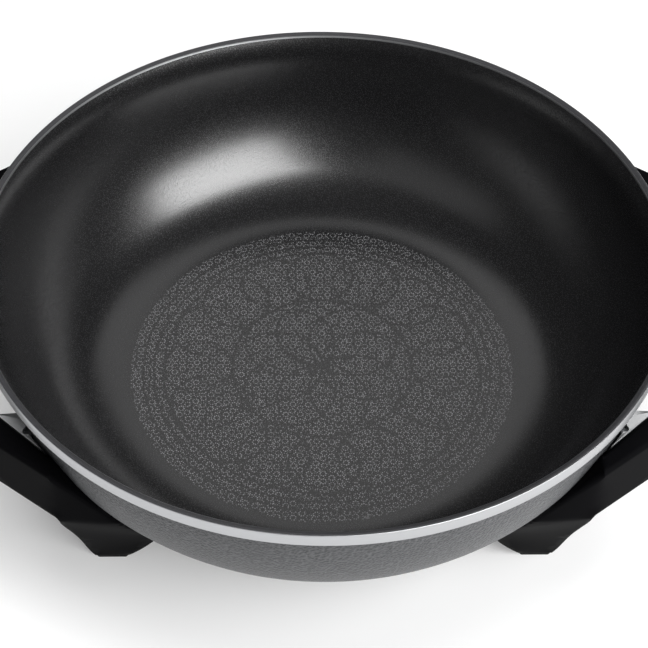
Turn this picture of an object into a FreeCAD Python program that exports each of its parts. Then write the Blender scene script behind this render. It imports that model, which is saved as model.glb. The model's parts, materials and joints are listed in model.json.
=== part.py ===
"""Electric wok: cast bowl with a staked heating element, two handle-and-leg mouldings and a
pull-out thermostat control.

Units are millimetres and +Z is up.  The drawing frame of every sub-part has its origin on the
table under the bowl's axis: +Y runs to the back, where the control plugs in.  The finished
assembly is moved along Y so that its own origin lies at the middle of its footprint.
"""
import FreeCAD, Part
import math
import os
import re

import Sketcher

DIMENSIONS = [
    # casting
    ("rim_radius", 180), ("rim_height", 130), ("inner_depth", 93.6), ("floor_thickness", 7.4),
    ("lip_width", 3.6), ("lip_drop", 1.2), ("lip_edge", 0.5), ("band_height", 7.6), ("band_step", 4),
    ("flare_width", 4), ("flare_depth", 9), ("base_radius", 104), ("base_corner", 62),
    ("floor_radius", 106), ("floor_corner", 56),
    ("lug_drop", 28), ("lug_thickness", 8), ("boss_radius", 6.5), ("boss_lift", 2),
    # element and terminals
    ("element_ring", 70), ("element_bend", 14), ("element_tube", 4), ("element_drop", 8),
    ("rib_width", 15), ("rib_show", 1.5), ("pin_pitch", 32), ("pin_radius", 2.2), ("pin_length", 22),
    ("pin_bed", 12), ("element_stub", 1), ("bush_radius", 3.8), ("bush_length", 3.5), ("bush_gap", 0.8),
    ("terminal_front", 56), ("terminal_back", 112), ("terminal_width", 54), ("terminal_depth", 16),
    ("probe_radius", 3.1), ("probe_depth", 54),
    # handle-and-leg mouldings
    ("arm_angle", 42.3), ("arm_tuck", 6.4), ("arm_face_angle", 36.5), ("arm_cover", 0.2),
    ("arm_top_drop", 27), ("arm_depth", 33), ("arm_round", 2.5),
    ("grip_reach", 30), ("grip_width", 18), ("grip_depth", 22), ("elbow_outer", 34), ("elbow_inner", 18),
    ("foot_depth", 16), ("sole_top", 9), ("knee_height", 20), ("knee_depth", 17),
    ("hip_lift", 1), ("hip_depth", 17), ("waist_drop", 45), ("waist_turn", 3), ("waist_depth", 14),
    ("ledge_drop", 36.5),
    ("ledge_turn", 1.5), ("ledge_depth", 12.4), ("leg_wall", 3.6), ("shelf_thickness", 9.5),
    ("seat_thickness", 7),
    ("pad_thickness", 2.5), ("pad_inset", 0.6), ("pad_round", 1.5), ("pad_peg", 3), ("pad_peg_length", 5),
    # places of the lugs, bosses and legs, drawn for one rim radius
    ("drawn_rim", 180), ("drawn_arm_root", 132), ("drawn_grip_taper_start", 172),
    ("drawn_lug_back", 87.4), ("drawn_lug_screw_x", 145.5), ("drawn_lug_screw_y", 98), ("drawn_boss_x", 98),
    ("drawn_boss_y", 96), ("drawn_foot_inner", 103.5), ("drawn_foot_outer", 121), ("drawn_foot_y", 102.8),
    ("drawn_knee_inner", 91), ("drawn_knee_outer", 124.5), ("drawn_knee_y", 108), ("drawn_hip_inner", 85),
    ("drawn_hip_outer", 127), ("drawn_hip_y", 115.5), ("drawn_waist_inner", 92), ("drawn_waist_outer", 130.5),
    ("drawn_waist_y", 122.5), ("drawn_ledge_inner", 95.7), ("drawn_ledge_outer", 130.5),
    ("drawn_ridge_inner", 103),
    # screws of the mouldings
    ("screw_radius", 2),
    ("head_radius", 4), ("head_height", 2.6), ("screw_grip", 6),
    # terminal shroud
    ("shroud_width", 60), ("shroud_height", 16), ("shroud_wall", 1.8), ("shroud_length", 34),
    ("shroud_corner", 4), ("shroud_screw", 1.7), ("shroud_screw_x", 8.4), ("shroud_grip", 10),
    # plug-in thermostat control
    ("control_gap", 2), ("control_width", 66), ("control_length", 98), ("control_sink", 13),
    ("control_rise", 7), ("cover_height", 16), ("control_wall", 2.2), ("control_corner", 12),
    ("nose_height", 11), ("nose_side", 1.0), ("nose_gap", 2), ("sleeve_radius", 3.3), ("sleeve_length", 30),
    ("control_edge", 3), ("post_inset", 9), ("post_radius", 3.6), ("post_screw", 1.5), ("post_sink", 2.5),
    ("post_grip", 9), ("knob_place", 59), ("knob_radius", 22), ("knob_height", 15), ("knob_skirt", 3),
    ("flute_radius", 2.6), ("shaft_radius", 3), ("shaft_seat", 10), ("bearing_lift", 4),
    ("cam_height", 3), ("cam_radius", 6),
    ("lens_radius", 4), ("lens_flange", 1.5), ("lens_place", 18), ("lamp_length", 9),
    ("gland_radius", 6.5), ("gland_bore", 4.2), ("gland_flange", 8), ("gland_lip", 1.2),
    ("switch_width", 34), ("switch_place", 28), ("switch_length", 52), ("switch_base", 4),
    ("pillar_length", 10), ("blade_width", 9), ("blade_thickness", 0.8), ("blade_sink", 2),
    ("contact_radius", 2), ("contact_height", 1), ("contact_gap", 0.5), ("contact_place", 63),
    ("contact_edge", 1),
    # clearances
    ("seat_gap", 0.3), ("running_gap", 0.05), ("bowl_gap", 0.8), ("knob_gap", 0.6),
]

FORMULAS = {
    "outer_top": "rim_radius - band_step",
    "band_foot": "rim_height - band_height",
    "base_z": "rim_height - inner_depth - floor_thickness",
    "floor_z": "rim_height - inner_depth",
    "inner_top": "rim_radius - lip_width - flare_width",
    "flare_foot": "rim_height - flare_depth",
    "shift_x": "(rim_radius - drawn_rim) * sin(arm_angle)",
    "shift_y": "(rim_radius - drawn_rim) * cos(arm_angle)",
    "arm_offset": "rim_radius - arm_tuck",
    "arm_face_offset": "rim_radius + arm_cover",
    "grip_inner": "rim_radius + grip_reach",
    "waist_height": "arm_top - waist_drop",
    "ledge_height": "arm_top - ledge_drop",
    "hip_height": "(knee_height + waist_height) / 2 + hip_lift",
    "hollow_top": "ledge_height - leg_wall",
    "boss_bottom": "base_z + boss_lift",
    "lug_top": "rim_height - lug_drop",
    "lug_bottom": "lug_top - lug_thickness",
    "arm_top": "rim_height - arm_top_drop",
    "shelf_top": "lug_bottom - seat_gap",
    "foot_x": "(foot_inner + foot_outer) / 2",
    "element_z": "base_z - element_drop",
    "element_end": "terminal_back + element_stub",
    "terminal_bottom": "base_z - terminal_depth",
    "grip_outer": "grip_inner + grip_width",
    "control_front": "terminal_back + shroud_length + control_gap",
    "control_back": "control_front + control_length",
    "control_bottom": "element_z - control_sink",
    "control_split": "element_z + control_rise",
    "control_top": "control_split + cover_height",
    "knob_y": "control_front + knob_place",
    "lens_y": "control_front + lens_place",
    "switch_front": "control_front + switch_place",
    "contact_y": "control_front + contact_place",
    "blade_base": "element_z - blade_sink",
    "rear_reach": "control_back + gland_flange",
    "nose_front": "terminal_back + shroud_wall + shroud_screw + nose_gap",
    "nose_half": "shroud_width / 2 - shroud_wall - nose_side",
    "knob_bottom": "control_top + knob_gap",
    "gland_z": "(control_bottom + control_split) / 2",
    "switch_back": "switch_front + switch_length",
    "upper_blade": "blade_base + blade_thickness + contact_height * 2 + contact_gap",
    "cam_bottom": "upper_blade + blade_thickness + seat_gap",
    "lens_bottom": "control_top - control_wall * 2",
    "frame_shift": "(rim_radius - rear_reach) / 2",
}
MOVED = {
    "x": ("arm_root", "grip_taper_start", "lug_screw_x", "boss_x", "foot_inner", "foot_outer",
          "knee_inner", "knee_outer", "hip_inner", "hip_outer", "waist_inner", "waist_outer",
          "ledge_inner", "ledge_outer", "ridge_inner"),
    "y": ("lug_back", "lug_screw_y", "boss_y", "foot_y", "knee_y", "hip_y", "waist_y"),
}
for axis, names in MOVED.items():
    FORMULAS.update({name: f"drawn_{name} + shift_{axis}" for name in names})

doc = FreeCAD.newDocument("electric_wok")
sheet = doc.addObject("Spreadsheet::Sheet", "dim")
for row, (alias, size) in enumerate(DIMENSIONS, start=1):
    sheet.set(f"A{row}", alias)
    sheet.set(f"B{row}", str(size))
    sheet.setAlias(f"B{row}", alias)
doc.recompute()
ALIASES = {alias for alias, size in DIMENSIONS}
SIGNS = (("front_left", -1, -1), ("front_right", 1, -1), ("back_left", -1, 1), ("back_right", 1, 1))
CONTROL_POSTS = [(sx, y) for sx in (-1, 1) for y in ("control_front + post_inset", "control_back - post_inset")]
FLUTES = 12


def expand(text):
    """Write a formula in the sheet's own cell names."""
    def swap(match):
        word = match.group(0)
        if word in FORMULAS:
            return "(" + expand(FORMULAS[word]) + ")"
        return "dim." + word if word in ALIASES else word
    return re.sub(r"[a-z][a-z_0-9]*", swap, str(text))


def value(text):
    """Work a formula out with the sheet's present sizes."""
    return float(sheet.evalExpression(expand(text)))


def arc_meet(corner_x, corner_z, corner, top_x, top_z):
    """Names for a corner arc that runs smoothly into a side arc with an upright top."""
    run = f"({top_x} - ({corner_x}))"
    rise = f"({top_z} - ({corner_z}))"
    side = f"(({run}^2 + {rise}^2 - 2*{rise}*{corner}) / (2*({run} - {corner})))"
    meet_x = f"({corner_x}) + {corner}*({side} - {run}) / ({side} - {corner})"
    meet_z = f"({corner_z}) + {corner} - {corner}*({rise} - {corner}) / ({side} - {corner})"
    return side, meet_x, meet_z


# ---------------------------------------------------------------- features
def new_body(name):
    body = doc.addObject("PartDesign::Body", name)
    body.Label = name
    return body


def new_sketch(body, name, role, offset="0"):
    sketch = body.newObject("Sketcher::SketchObject", name)
    plane = next(item for item in body.Origin.OriginFeatures if item.Role == role)
    sketch.AttachmentSupport = [(plane, "")]
    sketch.MapMode = "FlatFace"
    sketch.setExpression("AttachmentOffset.Base.z", expand(offset))
    return sketch


def fix_point(sketch, geometry, position, x, y):
    """Dimension one point of the sketch from its origin."""
    for kind, axis, text in (("DistanceX", -2, x), ("DistanceY", -1, y)):
        if str(text) == "0":
            sketch.addConstraint(Sketcher.Constraint("PointOnObject", geometry, position, axis))
            continue
        size = value(text)
        index = sketch.addConstraint(Sketcher.Constraint(kind, -1, 1, geometry, position, size))
        sketch.setExpression(f"Constraints[{index}]", expand(text))


def add_outline(sketch, points, arcs=None, closed=True):
    """Draw a chain of lines through dimensioned points; arcs maps an edge to its radius,
    where a minus sign puts the arc's bulge on the right of the direction of travel."""
    arcs = arcs or {}
    places = [FreeCAD.Vector(value(x), value(y), 0) for x, y in points]
    count = len(points) if closed else len(points) - 1
    first = sketch.GeometryCount
    for edge in range(count):
        start, end = places[edge], places[(edge + 1) % len(points)]
        if edge not in arcs:
            sketch.addGeometry(Part.LineSegment(start, end))
            continue
        text = arcs[edge]
        side = -1 if text.startswith("-") else 1
        radius = value(text.lstrip("-"))
        chord = end - start
        half = chord.Length / 2
        left = FreeCAD.Vector(-chord.y, chord.x, 0).normalize()
        sagitta = radius - math.sqrt(max(radius ** 2 - half ** 2, 0))
        middle = (start + end) * 0.5 + left * sagitta * side
        sketch.addGeometry(Part.Arc(start, middle, end))
    for edge in range(count):
        here = first + edge
        is_arc = edge in arcs
        start_position, end_position = 1, 2
        if is_arc and not arcs[edge].startswith("-"):
            start_position, end_position = 2, 1
        fix_point(sketch, here, start_position, *points[edge])
        if not closed and edge == count - 1:
            fix_point(sketch, here, end_position, *points[edge + 1])
        else:
            after = first + (edge + 1) % count
            next_arc = arcs.get((edge + 1) % count)
            next_start = 2 if next_arc and not next_arc.startswith("-") else 1
            sketch.addConstraint(Sketcher.Constraint("Coincident", here, end_position, after, next_start))
        if is_arc:
            text = arcs[edge].lstrip("-")
            index = sketch.addConstraint(Sketcher.Constraint("Radius", here, value(text)))
            sketch.setExpression(f"Constraints[{index}]", expand(text))


def add_circle(sketch, x, y, radius):
    centre = FreeCAD.Vector(value(x), value(y), 0)
    index = sketch.addGeometry(Part.Circle(centre, FreeCAD.Vector(0, 0, 1), value(radius)))
    fix_point(sketch, index, 3, x, y)
    bound = sketch.addConstraint(Sketcher.Constraint("Radius", index, value(radius)))
    sketch.setExpression(f"Constraints[{bound}]", expand(radius))


def add_box(sketch, low_x, low_y, high_x, high_y):
    add_outline(sketch, [(low_x, low_y), (high_x, low_y), (high_x, high_y), (low_x, high_y)])


def extrude(body, kind, name, sketch, length, reverse=False):
    """Pad or pocket a sketch by a bound length."""
    feature = body.newObject("PartDesign::" + kind, name)
    feature.Profile = sketch
    feature.Reversed = reverse
    feature.setExpression("Length", expand(length))
    body.Tip = feature
    doc.recompute()
    return feature


def turn(body, kind, name, sketch):
    """Revolve or groove a sketch right round its own upright axis."""
    feature = body.newObject("PartDesign::" + kind, name)
    feature.Profile = sketch
    feature.ReferenceAxis = (sketch, ["V_Axis"])
    feature.Angle = 360
    body.Tip = feature
    doc.recompute()
    return feature


def loft(body, kind, name, sketches):
    feature = body.newObject("PartDesign::" + kind, name)
    feature.Profile = sketches[0]
    feature.Sections = sketches[1:]
    body.Tip = feature
    doc.recompute()
    return feature


def pipe(body, kind, name, profile, spine):
    feature = body.newObject("PartDesign::" + kind, name)
    feature.Profile = profile
    feature.Spine = spine
    body.Tip = feature
    doc.recompute()
    return feature


def soften(body, name, radius, pick):
    """Fillet the tip's edges that pick(edge) accepts."""
    base = body.Tip
    edges = [f"Edge{number}" for number, edge in enumerate(base.Shape.Edges, start=1) if pick(edge)]
    if not edges:
        raise RuntimeError(f"{name} finds no edge")
    feature = body.newObject("PartDesign::Fillet", name)
    feature.Base = (base, edges)
    feature.setExpression("Radius", expand(radius))
    body.Tip = feature
    doc.recompute()
    return feature


def must_remove(feature, before):
    """A cut that removes nothing is an error."""
    if feature.Shape.Volume > before - 1e-3:
        raise RuntimeError(f"{feature.Name} cuts nothing")


def cut_up(body, name, sketch, length):
    """Pocket upwards from an XY sketch, or forwards from an XZ one."""
    before = body.Tip.Shape.Volume
    must_remove(extrude(body, "Pocket", name, sketch, length, reverse=True), before)


EXPORTS = []


def place(part, y="frame_shift"):
    """Put a finished sub-part in the assembly's frame and list it for export."""
    part.setExpression("Placement.Base.y", expand(y))
    EXPORTS.append(part)
    return part


# ---------------------------------------------------------------- bowl casting
def bowl_outline(gap):
    """Outer profile of the casting, grown by a gap, as points and arcs of a sketch."""
    top_x = f"outer_top + {gap}"
    corner = f"(base_corner + {gap})"
    side, meet_x, meet_z = arc_meet("base_radius", f"base_z - {gap}", corner, top_x, "band_foot")
    points = [("0", f"base_z - {gap}"), ("base_radius", f"base_z - {gap}"), (meet_x, meet_z),
              (top_x, "band_foot")]
    return points, {1: f"-{corner}", 2: f"-{side}"}


def arm_line(x, offset="arm_offset", sign_x=1, sign_y=-1, angle="arm_angle"):
    """Point at x on a line beside a handle's arm, given by its distance from the bowl's axis."""
    run = f"{sign_y} * ({offset} - ({x}) * sin({angle})) / cos({angle})"
    return f"{sign_x} * ({x})", run


def arm_face(x):
    """Point at x on the arm's outer face."""
    return arm_line(x, "arm_face_offset", angle="arm_face_angle")


def build_bowl():
    body = new_body("bowl")
    casting = new_sketch(body, "casting_profile", "XZ_Plane")
    points, arcs = bowl_outline("0")
    points += [("rim_radius", "band_foot"), ("rim_radius", "rim_height - lip_edge"),
               ("rim_radius - lip_edge", "rim_height"), ("0", "rim_height")]
    add_outline(casting, points, arcs)
    turn(body, "Revolution", "casting", casting)

    rib = new_sketch(body, "rib_profile", "XZ_Plane")
    add_box(rib, "element_ring - rib_width / 2", "element_z - element_tube + rib_show",
            "element_ring + rib_width / 2", "base_z + floor_thickness / 2")
    turn(body, "Revolution", "element_rib", rib)

    terminal = new_sketch(body, "terminal_plan", "XY_Plane", "terminal_bottom")
    add_box(terminal, "-terminal_width / 2", "terminal_front", "terminal_width / 2", "terminal_back")
    extrude(body, "Pad", "terminal_block", terminal, "terminal_depth + floor_thickness / 2")

    lugs = new_sketch(body, "lug_plan", "XY_Plane", "lug_bottom")
    for name, sx, sy in SIGNS:
        edge = "arm_offset - seat_gap"
        rear_x = f"({edge} - lug_back * cos(arm_angle)) / sin(arm_angle)"
        tip = arm_line("arm_root + seat_gap", edge, sx, sy)
        inside = (f"{sx} * (arm_root + seat_gap)", f"{sy} * lug_back")
        add_outline(lugs, [inside, (f"{sx} * {rear_x}", f"{sy} * lug_back"), tip])
    extrude(body, "Pad", "lugs", lugs, "lug_thickness")

    bosses = new_sketch(body, "boss_plan", "XY_Plane", "boss_bottom")
    for name, sx, sy in SIGNS:
        add_circle(bosses, f"{sx} * boss_x", f"{sy} * boss_y", "boss_radius")
    extrude(body, "Pad", "leg_bosses", bosses, "lug_bottom - boss_bottom")

    cavity = new_sketch(body, "cavity_profile", "XZ_Plane")
    side, meet_x, meet_z = arc_meet("floor_radius", "floor_z", "floor_corner", "inner_top", "flare_foot")
    points = [("0", "floor_z"), ("floor_radius", "floor_z"), (meet_x, meet_z), ("inner_top", "flare_foot"),
              ("rim_radius - lip_width", "rim_height - lip_drop"),
              ("rim_radius - lip_width / 3", "rim_height"),
              ("rim_radius - lip_width / 3", "rim_height + lip_drop"), ("0", "rim_height + lip_drop")]
    add_outline(cavity, points, {1: "-floor_corner", 2: f"-{side}"})
    before = body.Tip.Shape.Volume
    must_remove(turn(body, "Groove", "cavity", cavity), before)

    holes = new_sketch(body, "lug_hole_plan", "XY_Plane", "lug_bottom - 1")
    for name, sx, sy in SIGNS:
        add_circle(holes, f"{sx} * lug_screw_x", f"{sy} * lug_screw_y", "screw_radius")
    cut_up(body, "lug_holes", holes, "lug_thickness + 2")

    sockets = new_sketch(body, "boss_hole_plan", "XY_Plane", "boss_bottom - 1")
    for name, sx, sy in SIGNS:
        add_circle(sockets, f"{sx} * boss_x", f"{sy} * boss_y", "screw_radius")
    cut_up(body, "boss_holes", sockets, "floor_thickness + 1")

    bore = new_sketch(body, "probe_bore_profile", "XZ_Plane", "-terminal_back - 1")
    add_circle(bore, "0", "element_z", "probe_radius + running_gap")
    cut_up(body, "probe_bore", bore, "probe_depth + 1")

    threads = new_sketch(body, "shroud_thread_profile", "XZ_Plane", "-terminal_back - 1")
    for sx in (-1, 1):
        add_circle(threads, f"{sx} * shroud_screw_x", "element_z", "shroud_screw")
    cut_up(body, "shroud_threads", threads, "shroud_grip + 1")

    before = body.Tip.Shape.Volume
    must_remove(tube_along_element(body, "SubtractivePipe", "element_channel", "running_gap"), before)
    return place(body)


# ---------------------------------------------------------------- element and terminals
def tube_along_element(body, kind, name, gap):
    """Round section swept along the element's route: in by one leg, round, and out by the other."""
    leg = "(pin_pitch / 2)"
    bend_x = f"({leg} + element_bend)"
    bend_y = f"sqrt((element_ring + element_bend)^2 - {bend_x}^2)"
    share = "element_ring / (element_ring + element_bend)"
    route = new_sketch(body, name + "_route", "XY_Plane", "element_z")
    points = [(leg, "element_end"), (leg, bend_y), (f"{bend_x} * {share}", f"{bend_y} * {share}"),
              ("0", "-element_ring"), (f"-{bend_x} * {share}", f"{bend_y} * {share}"),
              (f"-{leg}", bend_y), (f"-{leg}", "element_end")]
    arcs = {1: "-element_bend", 2: "element_ring", 3: "element_ring", 4: "-element_bend"}
    add_outline(route, points, arcs, closed=False)
    section = new_sketch(body, name + "_section", "XZ_Plane", "-element_end")
    add_circle(section, leg, "element_z", f"element_tube + {gap}")
    return pipe(body, kind, name, section, route)


def build_element():
    body = new_body("heating_element")
    tube_along_element(body, "AdditivePipe", "sheath", "0")
    ends = new_sketch(body, "end_profile", "XZ_Plane", "-element_end")
    for sx in (-1, 1):
        add_circle(ends, f"{sx} * pin_pitch / 2", "element_z", "pin_radius + running_gap")
    cut_up(body, "pin_beds", ends, "pin_bed")
    return place(body)


def pair_of_rods(name, radius, front, length, bore=None):
    """Two like rods or tubes, side by side at the terminals' height."""
    body = new_body(name)
    rods = new_sketch(body, name + "_section", "XZ_Plane", f"-({front})")
    for sx in (-1, 1):
        add_circle(rods, f"{sx} * pin_pitch / 2", "element_z", radius)
        if bore:
            add_circle(rods, f"{sx} * pin_pitch / 2", "element_z", bore)
    extrude(body, "Pad", name + "_rods", rods, length, reverse=True)
    return body


def build_terminals():
    pins = pair_of_rods("terminal_pins", "pin_radius", "element_end - pin_bed", "pin_bed + pin_length")
    place(pins)
    bushes = pair_of_rods("terminal_insulators", "bush_radius", "element_end", "bush_length",
                          bore="pin_radius + running_gap")
    place(bushes)


def build_shroud():
    body = new_body("terminal_shroud")
    low_x, high_x = "-shroud_width / 2", "shroud_width / 2"
    low_z, high_z = "element_z - shroud_height / 2", "element_z + shroud_height / 2"
    outside = new_sketch(body, "outside_section", "XZ_Plane", "-terminal_back")
    add_box(outside, low_x, low_z, high_x, high_z)
    extrude(body, "Pad", "outside", outside, "shroud_length", reverse=True)
    soften(body, "outside_corners", "shroud_corner", lambda edge: is_along(edge, 1))
    inside = new_sketch(body, "inside_section", "XZ_Plane", "-terminal_back - shroud_wall")
    add_box(inside, low_x + " + shroud_wall", low_z + " + shroud_wall",
            high_x + " - shroud_wall", high_z + " - shroud_wall")
    before = body.Tip.Shape.Volume
    must_remove(extrude(body, "Pocket", "inside", inside, "shroud_length"), before)
    holes = new_sketch(body, "hole_section", "XZ_Plane", "-terminal_back - shroud_wall - 1")
    add_circle(holes, "0", "element_z", "probe_radius + seat_gap * 2")
    for sx in (-1, 1):
        add_circle(holes, f"{sx} * pin_pitch / 2", "element_z", "bush_radius + bush_gap")
        add_circle(holes, f"{sx} * shroud_screw_x", "element_z", "shroud_screw + running_gap")
    cut_up(body, "holes", holes, "shroud_wall + 2")
    place(body)

    screws = new_body("shroud_screws")
    shanks = new_sketch(screws, "shank_section", "XZ_Plane", "-terminal_back + shroud_grip - 1")
    heads = new_sketch(screws, "head_section", "XZ_Plane", "-terminal_back - shroud_wall")
    for sx in (-1, 1):
        add_circle(shanks, f"{sx} * shroud_screw_x", "element_z", "shroud_screw - running_gap")
        add_circle(heads, f"{sx} * shroud_screw_x", "element_z", "shroud_screw * 2")
    extrude(screws, "Pad", "shanks", shanks, "shroud_grip - 1 + shroud_wall + shroud_screw / 2", reverse=True)
    extrude(screws, "Pad", "heads", heads, "shroud_screw", reverse=True)
    place(screws)


def is_along(edge, axis):
    """True for a straight edge along one axis: 0 is X, 1 is Y and 2 is Z."""
    if edge.Curve.TypeId != "Part::GeomLine":
        return False
    direction = edge.tangentAt(edge.FirstParameter)
    return abs(abs(direction[axis]) - 1) < 1e-6


# ---------------------------------------------------------------- handle-and-leg mouldings
def leg_levels():
    """Levels of a leg from the foot up: height, x and y of its two front corners, and depth."""
    front = arm_face("arm_root")[1]
    return [("pad_thickness", "foot_inner", "-foot_y", "foot_outer", "-foot_y", "foot_depth"),
            ("knee_height", "knee_inner", "-knee_y", "knee_outer", "-knee_y", "knee_depth"),
            ("hip_height", "hip_inner", "-hip_y", "hip_outer", "-hip_y", "hip_depth"),
            ("waist_height", "waist_inner", "-waist_y - waist_turn", "waist_outer", "-waist_y", "waist_depth"),
            ("ledge_height", "ledge_inner", f"({front}) - ledge_turn", "ledge_outer", front, "ledge_depth")]


def level_between(low, high, height):
    """Level at a height between two others, on the straight lines that join them."""
    share = f"({height} - {low[0]}) / ({high[0]} - {low[0]})"
    return (height, *(f"({start}) + (({end}) - ({start})) * {share}" for start, end in zip(low[1:], high[1:])))


def leg_section(body, name, level, wall="0"):
    """Four-sided section of a leg at one level; a wall sets its front and sides in."""
    height, inner_x, inner_y, outer_x, outer_y, depth = level
    sketch = new_sketch(body, name, "XY_Plane", height)
    back = f"{depth} + {wall}"
    add_outline(sketch, [(f"{inner_x} + {wall}", f"({inner_y}) + {wall}"),
                         (f"{outer_x} - {wall}", f"({outer_y}) + {wall}"),
                         (f"{outer_x} - {wall}", f"({outer_y}) + {back}"),
                         (f"{inner_x} + {wall}", f"({inner_y}) + {back}")])
    return sketch


def build_arm(body):
    """Bar in plan from the leg's root round the elbow to half of the grip."""
    plan = new_sketch(body, "arm_plan", "XY_Plane", "arm_top - arm_depth")
    add_outline(plan, [arm_line("arm_root"), arm_face("arm_root"), arm_face("grip_outer"),
                       ("grip_outer", "0"), ("grip_inner", "0"), arm_line("grip_inner")])
    extrude(body, "Pad", "arm", plan, "arm_depth")
    for name, x in (("elbow_outer", "grip_outer"), ("elbow_inner", "grip_inner")):
        soften(body, name, name, lambda edge: is_along(edge, 2)
               and abs(edge.CenterOfMass.x - value(x)) < 0.01 and edge.CenterOfMass.y < -1)
    taper = new_sketch(body, "grip_underside_profile", "XZ_Plane")
    low, far = "arm_top - arm_depth - 1", "grip_outer + 1"
    add_outline(taper, [("grip_taper_start", low), ("grip_inner", "arm_top - grip_depth"),
                        (far, "arm_top - grip_depth"), (far, low)])
    cut_up(body, "grip_underside", taper, "rim_radius")


def build_turn(body):
    """Wedge from the arm's end down to the leg's ledge, with one flat front and a sloping ridge."""
    front = arm_face("arm_root")[1]
    side = new_sketch(body, "turn_profile", "XZ_Plane", f"-({front})")
    add_outline(side, [("arm_root", "arm_top"), ("ridge_inner", "ledge_height"),
                       ("ledge_outer", "ledge_height"), ("arm_root", "arm_top - arm_depth")])
    extrude(body, "Pad", "turn", side, "ledge_depth", reverse=True)


def round_arm(body):
    """Round the arm's outer top edge on down the ridge, then its inner top edge."""
    top, root, face = value("arm_top"), value("arm_root"), value(arm_face("arm_root")[1])
    grip_middle = value("grip_inner + grip_width / 2")

    def is_outer(edge):
        middle = edge.valueAt((edge.FirstParameter + edge.LastParameter) / 2)
        if middle.z < top - 0.01:
            return abs(edge.BoundBox.ZMax - top) < 0.01 and middle.x < root and abs(middle.y - face) < 0.01
        return middle.x > grip_middle or (
            middle.x > root and abs(middle.y - value(arm_face(f"{middle.x:.6f}")[1])) < 0.01)

    def is_inner(edge):
        middle = edge.valueAt((edge.FirstParameter + edge.LastParameter) / 2)
        ends = [vertex.Point for vertex in edge.Vertexes]
        crosses = abs(ends[0].x - ends[-1].x) < 0.01 and middle.x < root + 0.01
        return abs(middle.z - top) < 0.01 and middle.y < -0.01 and not crosses and middle.x < grip_middle

    soften(body, "outer_edges", "arm_round", lambda edge: is_outer(edge) and edge.BoundBox.YMin < -0.01
           and not is_along(edge, 0) and not is_along(edge, 2))
    soften(body, "inner_edges", "arm_round", lambda edge: is_inner(edge) and not is_along(edge, 0))


def build_leg(body):
    """Leg from the foot up to the ledge under the arm's end."""
    loft(body, "AdditiveLoft", "leg", [leg_section(body, f"leg_level_{number}", level)
                                       for number, level in enumerate(leg_levels())])


def hollow_leg(body):
    """Hollow behind the leg's skin, with the seat of its boss in it."""
    foot, knee, hip, waist, ledge = leg_levels()
    hollow = [level_between(foot, knee, "sole_top"), knee, hip, waist,
              level_between(waist, ledge, "hollow_top")]
    inside = [leg_section(body, f"hollow_level_{number}", level, "leg_wall")
              for number, level in enumerate(hollow)]
    before = body.Tip.Shape.Volume
    must_remove(loft(body, "SubtractiveLoft", "leg_hollow", inside), before)

    seat = new_sketch(body, "boss_seat_plan", "XY_Plane", "boss_bottom - seat_gap - seat_thickness")
    add_box(seat, "knee_inner + leg_wall / 2", "-knee_y + leg_wall / 2", "knee_outer - leg_wall / 2",
            "boss_radius - boss_y")
    extrude(body, "Pad", "boss_seat", seat, "seat_thickness")


def build_handle_half():
    """Front half of the right-hand moulding: grip, arm, leg, lug shelf and boss seat."""
    body = new_body("handle_half")
    build_arm(body)
    build_leg(body)
    build_turn(body)
    round_arm(body)
    hollow_leg(body)
    shelf = new_sketch(body, "shelf_plan", "XY_Plane", "shelf_top - shelf_thickness")
    rear_x = "(arm_offset + leg_wall - lug_back * cos(arm_angle)) / sin(arm_angle)"
    add_outline(shelf, [("arm_root", "-lug_back"), (rear_x, "-lug_back"),
                        arm_line("arm_root", "arm_offset + leg_wall")])
    extrude(body, "Pad", "lug_shelf", shelf, "shelf_thickness")

    seat_bottom = "boss_bottom - seat_gap - seat_thickness"
    for name, x, y, low, high, radius in (
            ("lug_screw_hole", "lug_screw_x", "-lug_screw_y", "shelf_top - shelf_thickness - 1",
             "shelf_top + 1", "screw_radius + seat_gap"),
            ("lug_screw_access", "lug_screw_x", "-lug_screw_y", "arm_top - arm_depth - 1",
             "shelf_top - shelf_thickness", "head_radius + seat_gap * 2"),
            ("boss_screw_hole", "boss_x", "-boss_y", f"{seat_bottom} - 1", "boss_bottom + 1",
             "screw_radius + seat_gap"),
            ("screw_access", "boss_x", "-boss_y", "0", seat_bottom, "head_radius + 1"),
            ("peg_socket", "foot_x", "-foot_y + foot_depth / 2", "0", "pad_thickness + pad_peg_length",
             "pad_peg")):
        hole = new_sketch(body, name + "_plan", "XY_Plane", low)
        add_circle(hole, x, y, radius)
        cut_up(body, name, hole, f"({high}) - ({low})")
    return body


def build_handles(clearance):
    half = build_handle_half()
    other = doc.addObject("Part::Mirroring", "handle_half_back")
    other.Source = half
    other.Normal = FreeCAD.Vector(0, 1, 0)
    whole = doc.addObject("Part::MultiFuse", "handle_whole")
    whole.Shapes = [half, other]
    whole.Refine = True
    right = doc.addObject("Part::Cut", "right_handle")
    right.Base = whole
    right.Tool = clearance
    right.Label = "right_handle"
    left = doc.addObject("Part::Mirroring", "left_handle")
    left.Source = right
    left.Normal = FreeCAD.Vector(1, 0, 0)
    left.Label = "left_handle"
    doc.recompute()
    place(right)
    EXPORTS.append(left)


def build_clearance():
    """The casting's outside, grown by the gap that the mouldings keep from it."""
    body = new_body("bowl_clearance")
    profile = new_sketch(body, "clearance_profile", "XZ_Plane")
    points, arcs = bowl_outline("bowl_gap")
    points += [("rim_radius + bowl_gap", "band_foot"), ("rim_radius + bowl_gap", "rim_height"),
               ("0", "rim_height")]
    add_outline(profile, points, arcs)
    turn(body, "Revolution", "clearance", profile)
    return body


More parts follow.
